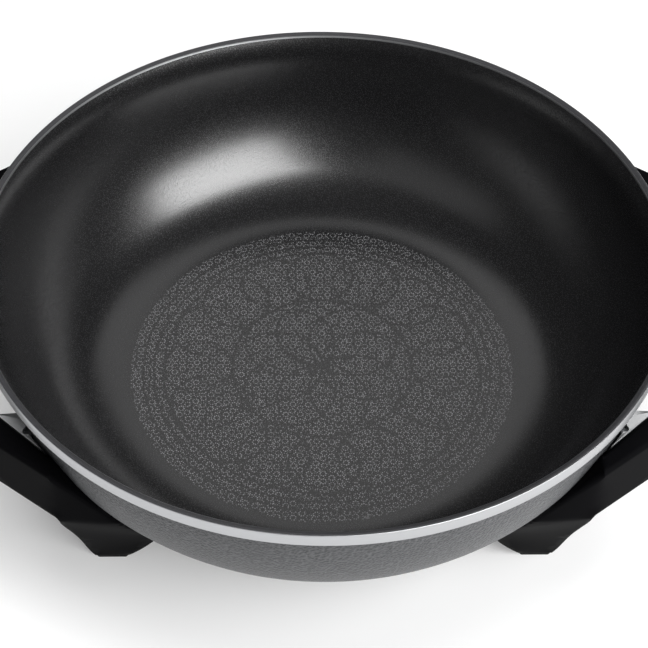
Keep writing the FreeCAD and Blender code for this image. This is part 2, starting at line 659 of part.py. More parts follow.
def build_foot_pads():
    for name, sx, sy in SIGNS:
        body = new_body(f"{name}_foot_pad")
        sole = new_sketch(body, "sole_plan", "XY_Plane")
        add_box(sole, f"{sx} * (foot_inner + pad_inset)", f"{sy} * (foot_y - foot_depth + pad_inset)",
                f"{sx} * (foot_outer - pad_inset)", f"{sy} * (foot_y - pad_inset)")
        extrude(body, "Pad", "sole", sole, "pad_thickness")
        soften(body, "sole_corners", "pad_round", lambda edge: is_along(edge, 2))
        peg = new_sketch(body, "peg_plan", "XY_Plane")
        add_circle(peg, f"{sx} * foot_x", f"{sy} * (foot_y - foot_depth / 2)", "pad_peg - running_gap")
        extrude(body, "Pad", "peg", peg, "pad_thickness + pad_peg_length - seat_gap")
        place(body)


def build_screw_set(name, x, y, seat, length):
    """Four like pan-head screws that point up, one at each corner, heads below the seat."""
    body = new_body(name)
    heads = new_sketch(body, "head_plan", "XY_Plane", f"({seat}) - head_height")
    shanks = new_sketch(body, "shank_plan", "XY_Plane", f"({seat}) - head_height / 2")
    for corner, sx, sy in SIGNS:
        add_circle(heads, f"{sx} * {x}", f"{sy} * {y}", "head_radius")
        add_circle(shanks, f"{sx} * {x}", f"{sy} * {y}", "screw_radius - running_gap")
    extrude(body, "Pad", "heads", heads, "head_height")
    extrude(body, "Pad", "shanks", shanks, f"{length} + head_height / 2")
    place(body)


# ---------------------------------------------------------------- plug-in control
def control_plan(body, name, height, inset="0"):
    """Rounded plan of the control's housing at one height, moved inwards by an inset."""
    sketch = new_sketch(body, name, "XY_Plane", height)
    side = f"(control_width / 2 - {inset})"
    front, back = f"(control_front + {inset})", f"(control_back - {inset})"
    corner = f"(control_corner - {inset})"
    add_outline(sketch, [(f"-{side} + {corner}", front), (f"{side} - {corner}", front),
                         (side, f"{front} + {corner}"), (side, f"{back} - {corner}"),
                         (f"{side} - {corner}", back), (f"-{side} + {corner}", back),
                         (f"-{side}", f"{back} - {corner}"), (f"-{side}", f"{front} + {corner}")],
                {1: f"-{corner}", 3: f"-{corner}", 5: f"-{corner}", 7: f"-{corner}"})
    return sketch


def is_rim(height):
    """Picker for the housing's outline edges at one height."""
    level = value(height)

    def pick(edge):
        box = edge.BoundBox
        return abs(box.ZMin - level) < 0.01 and abs(box.ZMax - level) < 0.01 and (
            box.YMax > value("control_front") - 0.01)
    return pick


def add_posts(sketch, radius):
    for sx, y in CONTROL_POSTS:
        add_circle(sketch, f"{sx} * (control_width / 2 - post_inset)", y, radius)


def build_control_base():
    body = new_body("control_base")
    extrude(body, "Pad", "tray", control_plan(body, "tray_plan", "control_bottom"),
            "control_split - control_bottom")
    soften(body, "tray_edge", "control_edge", is_rim("control_bottom"))
    nose = new_sketch(body, "nose_plan", "XY_Plane", "element_z - nose_height / 2")
    add_box(nose, "-nose_half", "nose_front", "nose_half", "control_front + control_wall + 1")
    extrude(body, "Pad", "nose", nose, "nose_height")
    inside = control_plan(body, "inside_plan", "control_bottom + control_wall", "control_wall")
    cut_up(body, "inside", inside, "control_top")
    posts = new_sketch(body, "post_plan", "XY_Plane", "control_bottom + control_wall / 2")
    add_posts(posts, "post_radius")
    extrude(body, "Pad", "posts", posts, "control_split - control_bottom - control_wall / 2 - seat_gap")
    bores = new_sketch(body, "nose_bore_section", "XZ_Plane", "-nose_front + 1")
    add_circle(bores, "0", "element_z", "probe_radius")
    for sx in (-1, 1):
        add_circle(bores, f"{sx} * pin_pitch / 2", "element_z", "sleeve_radius")
    before = body.Tip.Shape.Volume
    must_remove(extrude(body, "Pocket", "nose_bores", bores, "control_front - nose_front + control_wall * 3"),
                before)
    holes = new_sketch(body, "screw_hole_plan", "XY_Plane", "control_bottom - 1")
    add_posts(holes, "post_screw + running_gap")
    cut_up(body, "screw_holes", holes, "control_split")
    sinks = new_sketch(body, "screw_sink_plan", "XY_Plane", "control_bottom - 1")
    add_posts(sinks, "post_screw * 2 + running_gap")
    cut_up(body, "screw_sinks", sinks, "post_sink + 1")
    mouth = new_sketch(body, "gland_mouth_section", "XZ_Plane", "-control_back - 1")
    add_circle(mouth, "0", "gland_z", "gland_radius")
    cut_up(body, "gland_mouth", mouth, "control_wall + 2")
    place(body)


def build_control_cover():
    body = new_body("control_cover")
    extrude(body, "Pad", "lid", control_plan(body, "lid_plan", "control_split"), "control_top - control_split")
    soften(body, "lid_edge", "control_edge", is_rim("control_top"))
    inside = control_plan(body, "inside_plan", "control_split - 1", "control_wall")
    cut_up(body, "inside", inside, "control_top - control_split - control_wall + 1")
    posts = new_sketch(body, "post_plan", "XY_Plane", "control_split")
    add_posts(posts, "post_radius")
    extrude(body, "Pad", "posts", posts, "control_top - control_split - control_wall / 2")
    threads = new_sketch(body, "thread_plan", "XY_Plane", "control_split - 1")
    add_posts(threads, "post_screw")
    cut_up(body, "threads", threads, "post_grip + 1.5")
    bearing = new_sketch(body, "bearing_plan", "XY_Plane", "control_split + bearing_lift")
    add_circle(bearing, "0", "knob_y", "shaft_radius * 2")
    extrude(body, "Pad", "bearing", bearing, "control_top - control_split - bearing_lift - control_wall / 2")
    bore = new_sketch(body, "bore_plan", "XY_Plane", "control_split - 1")
    add_circle(bore, "0", "knob_y", "shaft_radius + running_gap")
    cut_up(body, "bore", bore, "control_top")
    window = new_sketch(body, "window_plan", "XY_Plane", "control_split - 1")
    add_circle(window, "0", "lens_y", "lens_radius")
    cut_up(body, "window", window, "control_top")
    place(body)


def build_round(name, y, discs):
    """Stacked discs about one upright axis on the centre line: (bottom, height, radius) each."""
    body = new_body(name)
    for number, (bottom, tall, radius) in enumerate(discs):
        disc = new_sketch(body, f"disc_{number}_plan", "XY_Plane", bottom)
        add_circle(disc, "0", y, radius)
        extrude(body, "Pad", f"disc_{number}", disc, tall)
    return body


def build_knob():
    body = new_body("control_knob")
    low = "knob_bottom"
    profile = new_sketch(body, "knob_profile", "XZ_Plane")
    add_outline(profile, [("0", low), ("knob_radius", low), ("knob_radius", f"{low} + knob_skirt"),
                          ("knob_radius - knob_skirt", f"{low} + knob_skirt * 1.6"),
                          ("knob_radius - knob_skirt * 2", f"{low} + knob_height"),
                          ("0", f"{low} + knob_height")])
    turn(body, "Revolution", "turned", profile)
    soften(body, "top_edge", "knob_skirt / 2",
           lambda edge: abs(edge.BoundBox.ZMin - value(f"{low} + knob_height")) < 0.01)
    flutes = new_sketch(body, "flute_plan", "XY_Plane", f"{low} + knob_skirt * 1.6")
    for step in range(FLUTES):
        angle = step * 360 / FLUTES + 180 / FLUTES
        add_circle(flutes, f"(knob_radius - knob_skirt) * cos({angle})",
                   f"(knob_radius - knob_skirt) * sin({angle})", "flute_radius")
    cut_up(body, "flutes", flutes, "knob_height")
    socket = new_sketch(body, "socket_plan", "XY_Plane", f"{low} - 1")
    add_circle(socket, "0", "0", "shaft_radius + running_gap")
    cut_up(body, "socket", socket, "shaft_seat + 1 + seat_gap")
    place(body, y="frame_shift + knob_y")


def build_control_inside():
    """Probe, sleeves, switch, lamp, lens, screws and cable gland of the control."""
    place(build_round("knob_shaft", "knob_y", [
        ("cam_bottom", "knob_bottom + shaft_seat - cam_bottom", "shaft_radius"),
        ("cam_bottom", "cam_height", "cam_radius")]))
    place(build_round("indicator_lens", "lens_y", [
        ("lens_bottom", "control_wall * 2 + knob_gap", "lens_radius - running_gap"),
        ("lens_bottom", "control_wall - running_gap", "lens_radius + lens_flange")]))
    place(build_round("indicator_lamp", "lens_y", [
        ("lens_bottom - seat_gap - lamp_length", "lamp_length", "lens_radius - 1")]))

    screws = new_body("control_screws")
    heads = new_sketch(screws, "head_plan", "XY_Plane", "control_bottom + seat_gap")
    add_posts(heads, "post_screw * 2 - running_gap")
    extrude(screws, "Pad", "heads", heads, "post_sink - seat_gap")
    shanks = new_sketch(screws, "shank_plan", "XY_Plane", "control_bottom + post_sink / 2")
    add_posts(shanks, "post_screw - running_gap")
    extrude(screws, "Pad", "shanks", shanks, "control_split - control_bottom - post_sink / 2 + post_grip")
    place(screws)

    probe = new_body("probe_rod")
    profile = new_sketch(probe, "probe_profile", "XY_Plane", "element_z")
    tip, tail = "terminal_back - probe_depth + knob_gap", "switch_front - seat_gap"
    add_outline(profile, [("0", tip), ("probe_radius", f"{tip} + probe_radius"), ("probe_radius", tail),
                          ("0", tail)], {0: "-probe_radius"})
    turn(probe, "Revolution", "rod", profile)
    place(probe)

    sleeves = pair_of_rods("contact_sleeves", "sleeve_radius", "nose_front + 1", "sleeve_length",
                           bore="pin_radius + running_gap")
    place(sleeves)

    block = new_body("switch_block")
    floor = "control_bottom + control_wall"
    for name, near, far, top in (("base", "switch_front", "switch_back", f"{floor} + switch_base"),
                                 ("front_pillar", "switch_front", "switch_front + pillar_length", "blade_base"),
                                 ("rear_pillar", "switch_back - pillar_length", "switch_back", "upper_blade")):
        plan = new_sketch(block, f"{name}_plan", "XY_Plane", floor)
        width = "switch_width" if name == "base" else "blade_width"
        add_box(plan, f"-{width} / 2", near, f"{width} / 2", far)
        extrude(block, "Pad", name, plan, f"{top} - ({floor})")
    place(block)
    for name, near, far, low, contact in (
            ("bimetal_blade", "switch_front", "contact_y + contact_radius + contact_edge", "blade_base",
             "blade_base + blade_thickness / 2"),
            ("contact_blade", "contact_y - contact_radius - contact_edge", "switch_back", "upper_blade",
             "upper_blade - contact_height")):
        blade = new_body(name)
        strip = new_sketch(blade, "strip_plan", "XY_Plane", low)
        add_box(strip, "-blade_width / 2", near, "blade_width / 2", far)
        extrude(blade, "Pad", "strip", strip, "blade_thickness")
        rivet = new_sketch(blade, "contact_plan", "XY_Plane", contact)
        add_circle(rivet, "0", "contact_y", "contact_radius")
        extrude(blade, "Pad", "contact", rivet, "contact_height + blade_thickness / 2")
        place(blade)

    gland = new_body("cable_gland")
    profile = new_sketch(gland, "gland_profile", "XY_Plane", "gland_z")
    inner, wall = "control_back - control_wall", "gland_radius - running_gap"
    lip = wall + " + gland_lip"
    add_outline(profile, [("gland_bore", f"{inner} - gland_lip"), (lip, f"{inner} - gland_lip"),
                          (lip, f"{inner} - running_gap"), (wall, f"{inner} - running_gap"),
                          (wall, "control_back + running_gap"), (lip, "control_back + running_gap"),
                          (wall, "rear_reach"), ("gland_bore", "rear_reach")])
    turn(gland, "Revolution", "gland", profile)
    place(gland)


def main():
    build_bowl()
    build_element()
    build_terminals()
    build_shroud()
    build_handles(build_clearance())
    build_foot_pads()
    build_screw_set("lug_screws", "lug_screw_x", "lug_screw_y", "shelf_top - shelf_thickness",
                    "shelf_thickness + seat_gap + screw_grip")
    build_screw_set("leg_screws", "boss_x", "boss_y", "boss_bottom - seat_gap - seat_thickness",
                    "seat_thickness + seat_gap + screw_grip")
    build_control_base()
    build_control_cover()
    build_knob()
    build_control_inside()
    doc.recompute()
    export_all()


def export_all():
    """Refuse a failed feature, then write one file for each sub-part."""
    for item in doc.Objects:
        if "Invalid" in item.State or "Error" in item.State:
            raise RuntimeError(f"{item.Name} is {item.State}")
    os.makedirs("parts", exist_ok=True)
    for part in EXPORTS:
        shape = part.Shape
        if shape.isNull() or not shape.isValid():
            raise RuntimeError(f"{part.Label} has no valid shape")
        shape.exportStep(f"parts/{part.Label}.step")
        print(part.Label, len(shape.Solids), round(shape.Volume), [round(v, 1) for v in
              (shape.BoundBox.XMin, shape.BoundBox.YMin, shape.BoundBox.ZMin,
               shape.BoundBox.XMax, shape.BoundBox.YMax, shape.BoundBox.ZMax)])


main()
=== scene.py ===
"""Electric wok: the cast bowl, its embossed floor, the trim and the studio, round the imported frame.

Everything is built in metres in the frame of the construction model: the table is at z = 0, the
grips lie along X, and the pull-out control is at the back, at +Y. The classes hold their sizes in
millimetres and their angles in degrees.
"""

import json
import logging
import math
from dataclasses import dataclass
from enum import Enum
from functools import cached_property
from typing import Any, Callable, Sequence

import bmesh
import bpy
from mathutils import Matrix, Vector

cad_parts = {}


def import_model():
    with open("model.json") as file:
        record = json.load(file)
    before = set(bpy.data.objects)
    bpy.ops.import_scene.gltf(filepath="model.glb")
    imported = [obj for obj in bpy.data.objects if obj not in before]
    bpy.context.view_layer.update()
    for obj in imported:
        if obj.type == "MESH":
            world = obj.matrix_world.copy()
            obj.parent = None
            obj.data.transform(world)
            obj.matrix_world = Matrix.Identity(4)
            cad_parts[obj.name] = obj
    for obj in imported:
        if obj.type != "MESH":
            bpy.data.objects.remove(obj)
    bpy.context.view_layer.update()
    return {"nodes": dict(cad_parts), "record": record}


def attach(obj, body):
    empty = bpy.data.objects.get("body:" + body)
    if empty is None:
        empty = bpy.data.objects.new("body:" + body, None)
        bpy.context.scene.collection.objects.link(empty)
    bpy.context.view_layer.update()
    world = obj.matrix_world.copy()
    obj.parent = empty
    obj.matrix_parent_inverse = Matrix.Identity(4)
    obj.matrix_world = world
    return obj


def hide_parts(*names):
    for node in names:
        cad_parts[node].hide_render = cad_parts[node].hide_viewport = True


MM = 0.001
WELD = 0.001 * MM
TINY = 1e-6
SMOOTH_BELOW = 35.0
ROW_STEP = math.sqrt(3) / 2
LOG = logging.getLogger("electric_wok")
Point = tuple[float, float]
Spot = tuple[float, float, float]
Sizes = dict[str, float]
Tree = bpy.types.NodeTree
Socket = bpy.types.NodeSocket
Piece = bpy.types.Object
Shape = bmesh.types.BMesh
Vert = bmesh.types.BMVert


# ---------------------------------------------------------------- small helpers
def linear(code: str) -> tuple[float, float, float, float]:
    """Turn an sRGB hex colour into linear light.

    Args:
        code: Six hex digits after a hash sign.

    Returns:
        Red, green, blue and an alpha of 1.
    """
    parts = [int(code[start:start + 2], 16) / 255 for start in (1, 3, 5)]
    red, green, blue = (p / 12.92 if p <= 0.04045 else ((p + 0.055) / 1.055) ** 2.4 for p in parts)
    return red, green, blue, 1.0


def add_node(tree: Tree, kind: str, settings: dict[str, Any] | None = None,
             inputs: dict[str | int, Any] | None = None) -> bpy.types.Node:
    """Add one node with its settings and links.

    Args:
        tree: The node tree that gets the node.
        kind: The node's type name.
        settings: Properties of the node itself.
        inputs: Socket name or number to a value, or to another node's output.

    Returns:
        The new node.
    """
    node = tree.nodes.new(kind)
    for name, value in (settings or {}).items():
        setattr(node, name, value)
    for key, value in (inputs or {}).items():
        if isinstance(value, Socket):
            tree.links.new(value, node.inputs[key])
        else:
            node.inputs[key].default_value = value
    return node


def first(tree: Tree, kind: str, settings: dict[str, Any] | None = None,
          inputs: dict[str | int, Any] | None = None) -> Socket:
    """First output of a new node."""
    return add_node(tree, kind, settings, inputs).outputs[0]


def maths(tree: Tree, operation: str, *values: Any) -> Socket:
    """Output of a new Math node, with the values in its sockets in order."""
    return first(tree, "ShaderNodeMath", {"operation": operation}, dict(enumerate(values)))


def vector(tree: Tree, **axes: Socket) -> Socket:
    """Output of a new node that joins sizes along X, Y and Z into a vector."""
    return first(tree, "ShaderNodeCombineXYZ", inputs=axes)


def moved(tree: Tree, geometry: Socket, offset: Any) -> Socket:
    """Geometry shifted by a vector in metres, or by a socket that holds one."""
    return first(tree, "GeometryNodeTransform", inputs={0: geometry, "Translation": offset})


def arc(centre: Point, radius: float, start: float, end: float, steps: int) -> list[Point]:
    """Points along an arc.

    Args:
        centre: The arc's centre.
        radius: Its radius.
        start: First angle in degrees.
        end: Last angle in degrees.
        steps: Number of stretches between them.

    Returns:
        The points, both ends included.
    """
    angles = (math.radians(start + (end - start) * step / steps) for step in range(steps + 1))
    return [(centre[0] + radius * math.cos(a), centre[1] + radius * math.sin(a)) for a in angles]


def segment_gap(spot: Point, start: Point, end: Point) -> float:
    """Distance from a spot to a straight segment.

    Args:
        spot: The spot.
        start: The segment's first end.
        end: Its other end.

    Returns:
        The distance, in the points' own unit.
    """
    run = (end[0] - start[0], end[1] - start[1])
    away = (spot[0] - start[0], spot[1] - start[1])
    length = run[0] ** 2 + run[1] ** 2
    share = 0.0 if length < TINY ** 2 else (away[0] * run[0] + away[1] * run[1]) / length
    share = min(max(share, 0.0), 1.0)
    return math.hypot(away[0] - run[0] * share, away[1] - run[1] * share)


def shown(name: str, data: bpy.types.ID) -> Piece:
    """Put data in the scene as a new object.

    Args:
        name: The object's name.
        data: Mesh, curve, lamp or camera.

    Returns:
        The object.
    """
    piece = bpy.data.objects.new(name, data)
    bpy.context.scene.collection.objects.link(piece)
    return piece


def baked(holder: Piece) -> bpy.types.Mesh:
    """Keep what an object shows as a plain mesh, and remove the object.

    Args:
        holder: An object with a modifier or a curve.

    Returns:
        The mesh.
    """
    graph = bpy.context.evaluated_depsgraph_get()
    mesh = bpy.data.meshes.new_from_object(holder.evaluated_get(graph), depsgraph=graph)
    bpy.data.objects.remove(holder)
    return mesh


def make_object(name: str, mesh: bpy.types.Mesh, smooth_below: float = SMOOTH_BELOW) -> Piece:
    """Put a mesh in the scene.

    Args:
        name: Name of the object and of the mesh.
        mesh: The mesh.
        smooth_below: Angle in degrees under which faces are shaded smooth.

    Returns:
        The object.
    """
    mesh.name = name
    mesh.polygons.foreach_set("use_smooth", [True] * len(mesh.polygons))
    mesh.set_sharp_from_angle(angle=math.radians(smooth_below))
    return shown(name, mesh)


def from_bmesh(name: str, shape: Shape, smooth_below: float = SMOOTH_BELOW) -> Piece:
    """Turn a finished bmesh into an object in the scene.

    Args:
        name: Name of the object.
        shape: The bmesh, which is freed.
        smooth_below: Angle in degrees under which faces are shaded smooth.

    Returns:
        The object.
    """
    mesh = bpy.data.meshes.new(name)
    shape.to_mesh(mesh)
    shape.free()
    return make_object(name, mesh, smooth_below)


def merged(node: Piece) -> Shape:
    """Copy a node's mesh with its loose triangles joined.

    Args:
        node: A node of the frame.

    Returns:
        The copy.
    """
    shape = bmesh.new()
    shape.from_mesh(node.data)
    bmesh.ops.remove_doubles(shape, verts=shape.verts, dist=WELD)
    bmesh.ops.recalc_face_normals(shape, faces=shape.faces)
    return shape


def carved(solid: Piece, cutter: Piece) -> Shape:
    """Take a cutter's shape out of a solid, and remove both objects.

    Args:
        solid: The object that is cut.
        cutter: The object whose shape goes.

    Returns:
        The mesh that is left.
    """
    cut = solid.modifiers.new("cut", "BOOLEAN")
    cut.object = cutter
    cut.operation = "DIFFERENCE"
    cut.solver = "EXACT"
    graph = bpy.context.evaluated_depsgraph_get()
    shape = bmesh.new()
    shape.from_mesh(solid.evaluated_get(graph).data)
    bpy.data.objects.remove(solid)
    bpy.data.objects.remove(cutter)
    return shape


def dress(piece: Piece, materials: Sequence[bpy.types.Material]) -> None:
    """Give a piece its materials, with each face's slot number kept.

    Args:
        piece: The piece.
        materials: Its materials in slot order.
    """
    slots = [face.material_index for face in piece.data.polygons]
    piece.data.materials.clear()
    for material in materials:
        piece.data.materials.append(material)
    if len(materials) > 1:
        piece.data.polygons.foreach_set("material_index", slots)


def empty_tree(owner: bpy.types.Material | bpy.types.World) -> Tree:
    """Node tree of a new material or world.

    Args:
        owner: The material or world.

    Returns:
        Its tree, with nothing in it.
    """
    owner.use_nodes = True
    owner.node_tree.nodes.clear()
    return owner.node_tree


def new_geometry_tree(name: str, sizes: Sizes) -> tuple[Tree, dict[str, Socket]]:
    """Start a Geometry Nodes tree with a named input for each size.

    Args:
        name: Name of the tree.
        sizes: Input names and their values.

    Returns:
        The tree, and each input's output socket inside it.
    """
    tree = bpy.data.node_groups.new(name, "GeometryNodeTree")
    tree.interface.new_socket(name="Geometry", in_out="OUTPUT", socket_type="NodeSocketGeometry")
    for label, size in sizes.items():
        kind = "NodeSocketInt" if isinstance(size, int) else "NodeSocketFloat"
        tree.interface.new_socket(name=label, in_out="INPUT", socket_type=kind)
    group = add_node(tree, "NodeGroupInput")
    return tree, {label: group.outputs[label] for label in sizes}


def grow(name: str, tree: Tree, geometry: Socket, sizes: Sizes, material: bpy.types.Material,
         smooth_below: float = SMOOTH_BELOW) -> Piece:
    """Close a Geometry Nodes tree, run it once and keep its result as a plain mesh.

    Args:
        name: Name of the finished piece.
        tree: The tree.
        geometry: The socket that holds the finished geometry.
        sizes: Input names and their values.
        material: Material that the tree sets.
        smooth_below: Angle in degrees under which faces are shaded smooth.

    Returns:
        The finished piece.
    """
    real = first(tree, "GeometryNodeRealizeInstances", inputs={0: geometry})
    painted = first(tree, "GeometryNodeSetMaterial", inputs={0: real, "Material": material})
    add_node(tree, "NodeGroupOutput", inputs={0: painted})
    holder = shown(name + "_holder", bpy.data.meshes.new(name + "_holder"))
    modifier = holder.modifiers.new(name, "NODES")
    modifier.node_group = tree
    for item in tree.interface.items_tree:
        if item.in_out == "INPUT":
            modifier[item.identifier] = sizes[item.name]
    holder.update_tag()
    bpy.context.view_layer.update()
    return make_object(name, baked(holder), smooth_below)


# ---------------------------------------------------------------- finishes
class Making(Enum):
    """How a surface was made, which sets the pattern that the eye sees on it."""

    COATED = "sprayed non-stick coat with fine flakes"
    HAMMERED = "hammered metallic paint"
    TURNED = "bare metal, turned on a lathe"
    MOULDED = "moulded against a finely etched tool"
    DRAWN = "drawn or rolled metal"
    FIRED = "unglazed ceramic"
    CLEAR = "clear moulding"


@dataclass(frozen=True)
class Grain:
    """Patterns that run from 0, where a finish's main colour shows, towards 1 for its second.

    Args:
        tree: Tree of the material.
        place: Socket with the place on the object.
        size: Size of the grain in millimetres.
        flake_size: Size of the coat's flakes, in grains.
        flake_core: Distance within which a flake is whole.
        flake_edge: Distance at which a flake has faded out.
        softness: Roughness of the orange peel, and how far pebbles run into each other.
        fine_size: Size of the finer pebbles, in grains.
        fine_share: How much the finer pebbles count.
        drift_size: Size of the slow drifts of gloss, in grains.
        squeeze: Scale along the streaks, against 1 across them.
    """

    tree: Tree
    place: Socket
    size: float
    flake_size: float = 1.2
    flake_core: float = 0.05
    flake_edge: float = 0.45
    softness: float = 0.6
    fine_size: float = 0.6
    fine_share: float = 0.45
    drift_size: float = 60.0
    squeeze: float = 0.05

    def scale(self, grains: float = 1.0) -> float:
        """Texture scale in cells per metre for a number of grains."""
        return 1.0 / (self.size * grains * MM)

    def noise(self, grains: float = 1.0, detail: float = 3.0, **inputs: Any) -> Socket:
        """Cloudy noise whose features are a number of grains wide."""
        return first(self.tree, "ShaderNodeTexNoise", inputs={
            "Vector": self.place, "Scale": self.scale(grains), "Detail": detail, **inputs})

    def coated(self) -> Socket:
        """Fine orange peel with sparse bright flakes.

        Returns:
            The pattern.
        """
        flakes = add_node(self.tree, "ShaderNodeTexVoronoi", {"feature": "F1"}, {
            "Vector": self.place, "Scale": self.scale(self.flake_size), "Randomness": 1.0})
        sparse = first(self.tree, "ShaderNodeMapRange", inputs={
            "Value": flakes.outputs["Distance"], "From Min": self.flake_core, "From Max": self.flake_edge,
            "To Min": 1.0, "To Max": 0.0})
        return maths(self.tree, "MULTIPLY", self.noise(Roughness=self.softness), sparse)

    def hammered(self) -> Socket:
        """Soft pebbles that touch, with finer ones on top.

        Returns:
            The pattern.
        """
        pebbles = add_node(self.tree, "ShaderNodeTexVoronoi", {"feature": "SMOOTH_F1"}, {
            "Vector": self.place, "Scale": self.scale(), "Smoothness": self.softness})
        fine = self.noise(self.fine_size, 2.0)
        return maths(self.tree, "MULTIPLY_ADD", fine, self.fine_share, pebbles.outputs["Distance"])

    def turned(self) -> Socket:
        """Fine lines that run round with the lathe, so they vary with height only.

        Returns:
            The pattern.
        """
        split = add_node(self.tree, "ShaderNodeSeparateXYZ", inputs={0: self.place})
        height = maths(self.tree, "MULTIPLY", split.outputs["Z"], self.scale())
        return first(self.tree, "ShaderNodeTexNoise", {"noise_dimensions": "1D"}, {
            "W": height, "Scale": 1.0, "Detail": 2.0})

    def moulded(self) -> Socket:
        """Fine even grain over slow drifts of gloss."""
        return maths(self.tree, "MULTIPLY", self.noise(), self.noise(self.drift_size, 2.0))

    def drawn(self) -> Socket:
        """Faint streaks along Y, the way that the rods and sheets here are drawn."""
        return self.noise(Vector=first(self.tree, "ShaderNodeMapping", inputs={
            "Vector": self.place, "Scale": (1.0, self.squeeze, 1.0)}))


PATTERNS: dict[Making, Callable[[Grain], Socket]] = {
    Making.COATED: Grain.coated,
    Making.HAMMERED: Grain.hammered,
    Making.TURNED: Grain.turned,
    Making.MOULDED: Grain.moulded,
    Making.DRAWN: Grain.drawn,
    Making.FIRED: Grain.moulded,
    Making.CLEAR: Grain.moulded,
}


@dataclass(frozen=True)
class Finish:
    """One material, named for what the real one is.

    Args:
        name: Common name of the material.
        making: How its surface was made.
        colour: Main colour, as sRGB hex.
        second: Colour of its grain or flakes.
        roughness: Roughness of the shader.
        metallic: 1 for bare metal.
        ior: Index of refraction of what isn't metal.
        grain: Size of the grain in millimetres.
        relief: Height of the grain in millimetres.
        spread: How far roughness varies either way.
        clear: Share of light that passes through.
    """

    name: str
    making: Making
    colour: str
    second: str
    roughness: float
    metallic: float = 0.0
    ior: float = 1.5
    grain: float = 0.6
    relief: float = 0.02
    spread: float = 0.06
    clear: float = 0.0

    def build(self) -> bpy.types.Material:
        """Make the material with its own nodes.

        Returns:
            The material.
        """
        material = bpy.data.materials.new(self.name)
        tree = empty_tree(material)
        place = add_node(tree, "ShaderNodeTexCoord").outputs["Object"]
        pattern = PATTERNS[self.making](Grain(tree, place, self.grain))
        colour = add_node(tree, "ShaderNodeMix", {"data_type": "RGBA"}, {
            0: pattern, "A": linear(self.colour), "B": linear(self.second)})
        rough = first(tree, "ShaderNodeMapRange", inputs={
            "Value": pattern, "To Min": self.roughness - self.spread, "To Max": self.roughness + self.spread})
        bump = first(tree, "ShaderNodeBump", inputs={
            "Height": pattern, "Distance": self.relief * MM, "Strength": 1.0})
        shader = add_node(tree, "ShaderNodeBsdfPrincipled", inputs={
            "Metallic": self.metallic, "Transmission Weight": self.clear,
            "Base Color": colour.outputs["Result"], "Roughness": rough, "Normal": bump})
        if self.metallic < 1.0:
            shader.inputs["IOR"].default_value = self.ior
        add_node(tree, "ShaderNodeOutputMaterial", inputs={"Surface": shader.outputs[0]})
        return material


FINISHES = {
    # A sprayed fluoropolymer coat: nearly black, with a soft sheen broken up by mineral flakes.
    "coat": Finish("non_stick_coat", Making.COATED, "#0d0d0e", "#38383a", 0.31, ior=1.85, grain=0.55,
                   relief=0.045),
    # The same coat on the raised studs: made paler and greyer as a painted highlight for the light that each
    # stud catches, and duller than the flat.
    "studs": Finish("non_stick_coat_painted_stud_highlight", Making.COATED, "#727274", "#8c8c8e", 0.42, grain=0.5),
    # The same coat where it runs over the rim: smoother, because it is wiped before it is baked.
    "lip": Finish("non_stick_lip", Making.COATED, "#2e2e30", "#4e4e50", 0.45, grain=0.5, relief=0.01),
    # Metallic hammered enamel: the pebbles catch the light one by one.
    "paint": Finish("hammered_enamel", Making.HAMMERED, "#1b1c1e", "#565759", 0.38, metallic=0.2, ior=1.30,
                    grain=1.5, relief=0.55),
    # Bare cast aluminium, turned after painting: bright, with fine lines round the rim.
    "band": Finish("turned_aluminium", Making.TURNED, "#a9aaac", "#bbbcbe", 0.40, metallic=1.0,
                   grain=0.35, relief=0.006, spread=0.05),
    # The same casting where a cutter faced the lugs: pale and dull.
    "faced": Finish("faced_cast_aluminium", Making.MOULDED, "#c6c7c8", "#dcddde", 0.50, metallic=0.35,
                    grain=0.8, relief=0.01),
    # Phenolic moulding: hard and black, with the dull skin that a worn tool leaves.
    "phenolic": Finish("black_phenolic", Making.MOULDED, "#070708", "#101012", 0.50, ior=1.06, grain=0.5),
    "rubber": Finish("black_rubber", Making.MOULDED, "#0c0c0d", "#18181a", 0.75, ior=1.35, grain=0.4,
                     relief=0.03),
    "housing": Finish("etched_nylon", Making.MOULDED, "#101011", "#202022", 0.55, ior=1.40, grain=0.7,
                      relief=0.05),
    "knob": Finish("polished_abs", Making.MOULDED, "#0c0c0d", "#151517", 0.25, ior=1.45, grain=0.8,
                   relief=0.004),
    # Steel sheath, browned by heat.
    "sheath": Finish("heat_browned_steel", Making.DRAWN, "#6f665c", "#8f8577", 0.38, metallic=1.0, grain=0.4),
    "zinc": Finish("zinc_plated_steel", Making.DRAWN, "#b9bcc0", "#d2d4d6", 0.34, metallic=1.0, grain=0.3,
                   relief=0.01),
    "nickel": Finish("nickel_plate", Making.DRAWN, "#cfc9bf", "#e2ddd4", 0.18, metallic=1.0, grain=0.3,
                     relief=0.005),
    "brass": Finish("stamped_brass", Making.DRAWN, "#c9a252", "#e0c079", 0.30, metallic=1.0, grain=0.3,
                    relief=0.01),
    "bimetal": Finish("rolled_bimetal", Making.DRAWN, "#9d9487", "#b7ae9f", 0.35, metallic=1.0, grain=0.3,
                      relief=0.01),
    "ceramic": Finish("unglazed_steatite", Making.FIRED, "#e4ded2", "#cfc7b8", 0.70, grain=0.3, relief=0.03),
    "lens": Finish("red_acrylic", Making.CLEAR, "#b0120c", "#c4241b", 0.10, ior=1.49, grain=1.0,
                   relief=0.002, spread=0.02, clear=0.6),
    "lamp": Finish("neon_lamp_glass", Making.CLEAR, "#f2d7bd", "#ffe9d2", 0.05, ior=1.52, grain=1.0,
                   relief=0.001, spread=0.02, clear=0.8),
    # Dial marks printed in white ink: flat, matt and very thin.
    "print": Finish("white_pad_print", Making.MOULDED, "#d8d8d6", "#e6e6e4", 0.50, grain=0.4, relief=0.003),
}

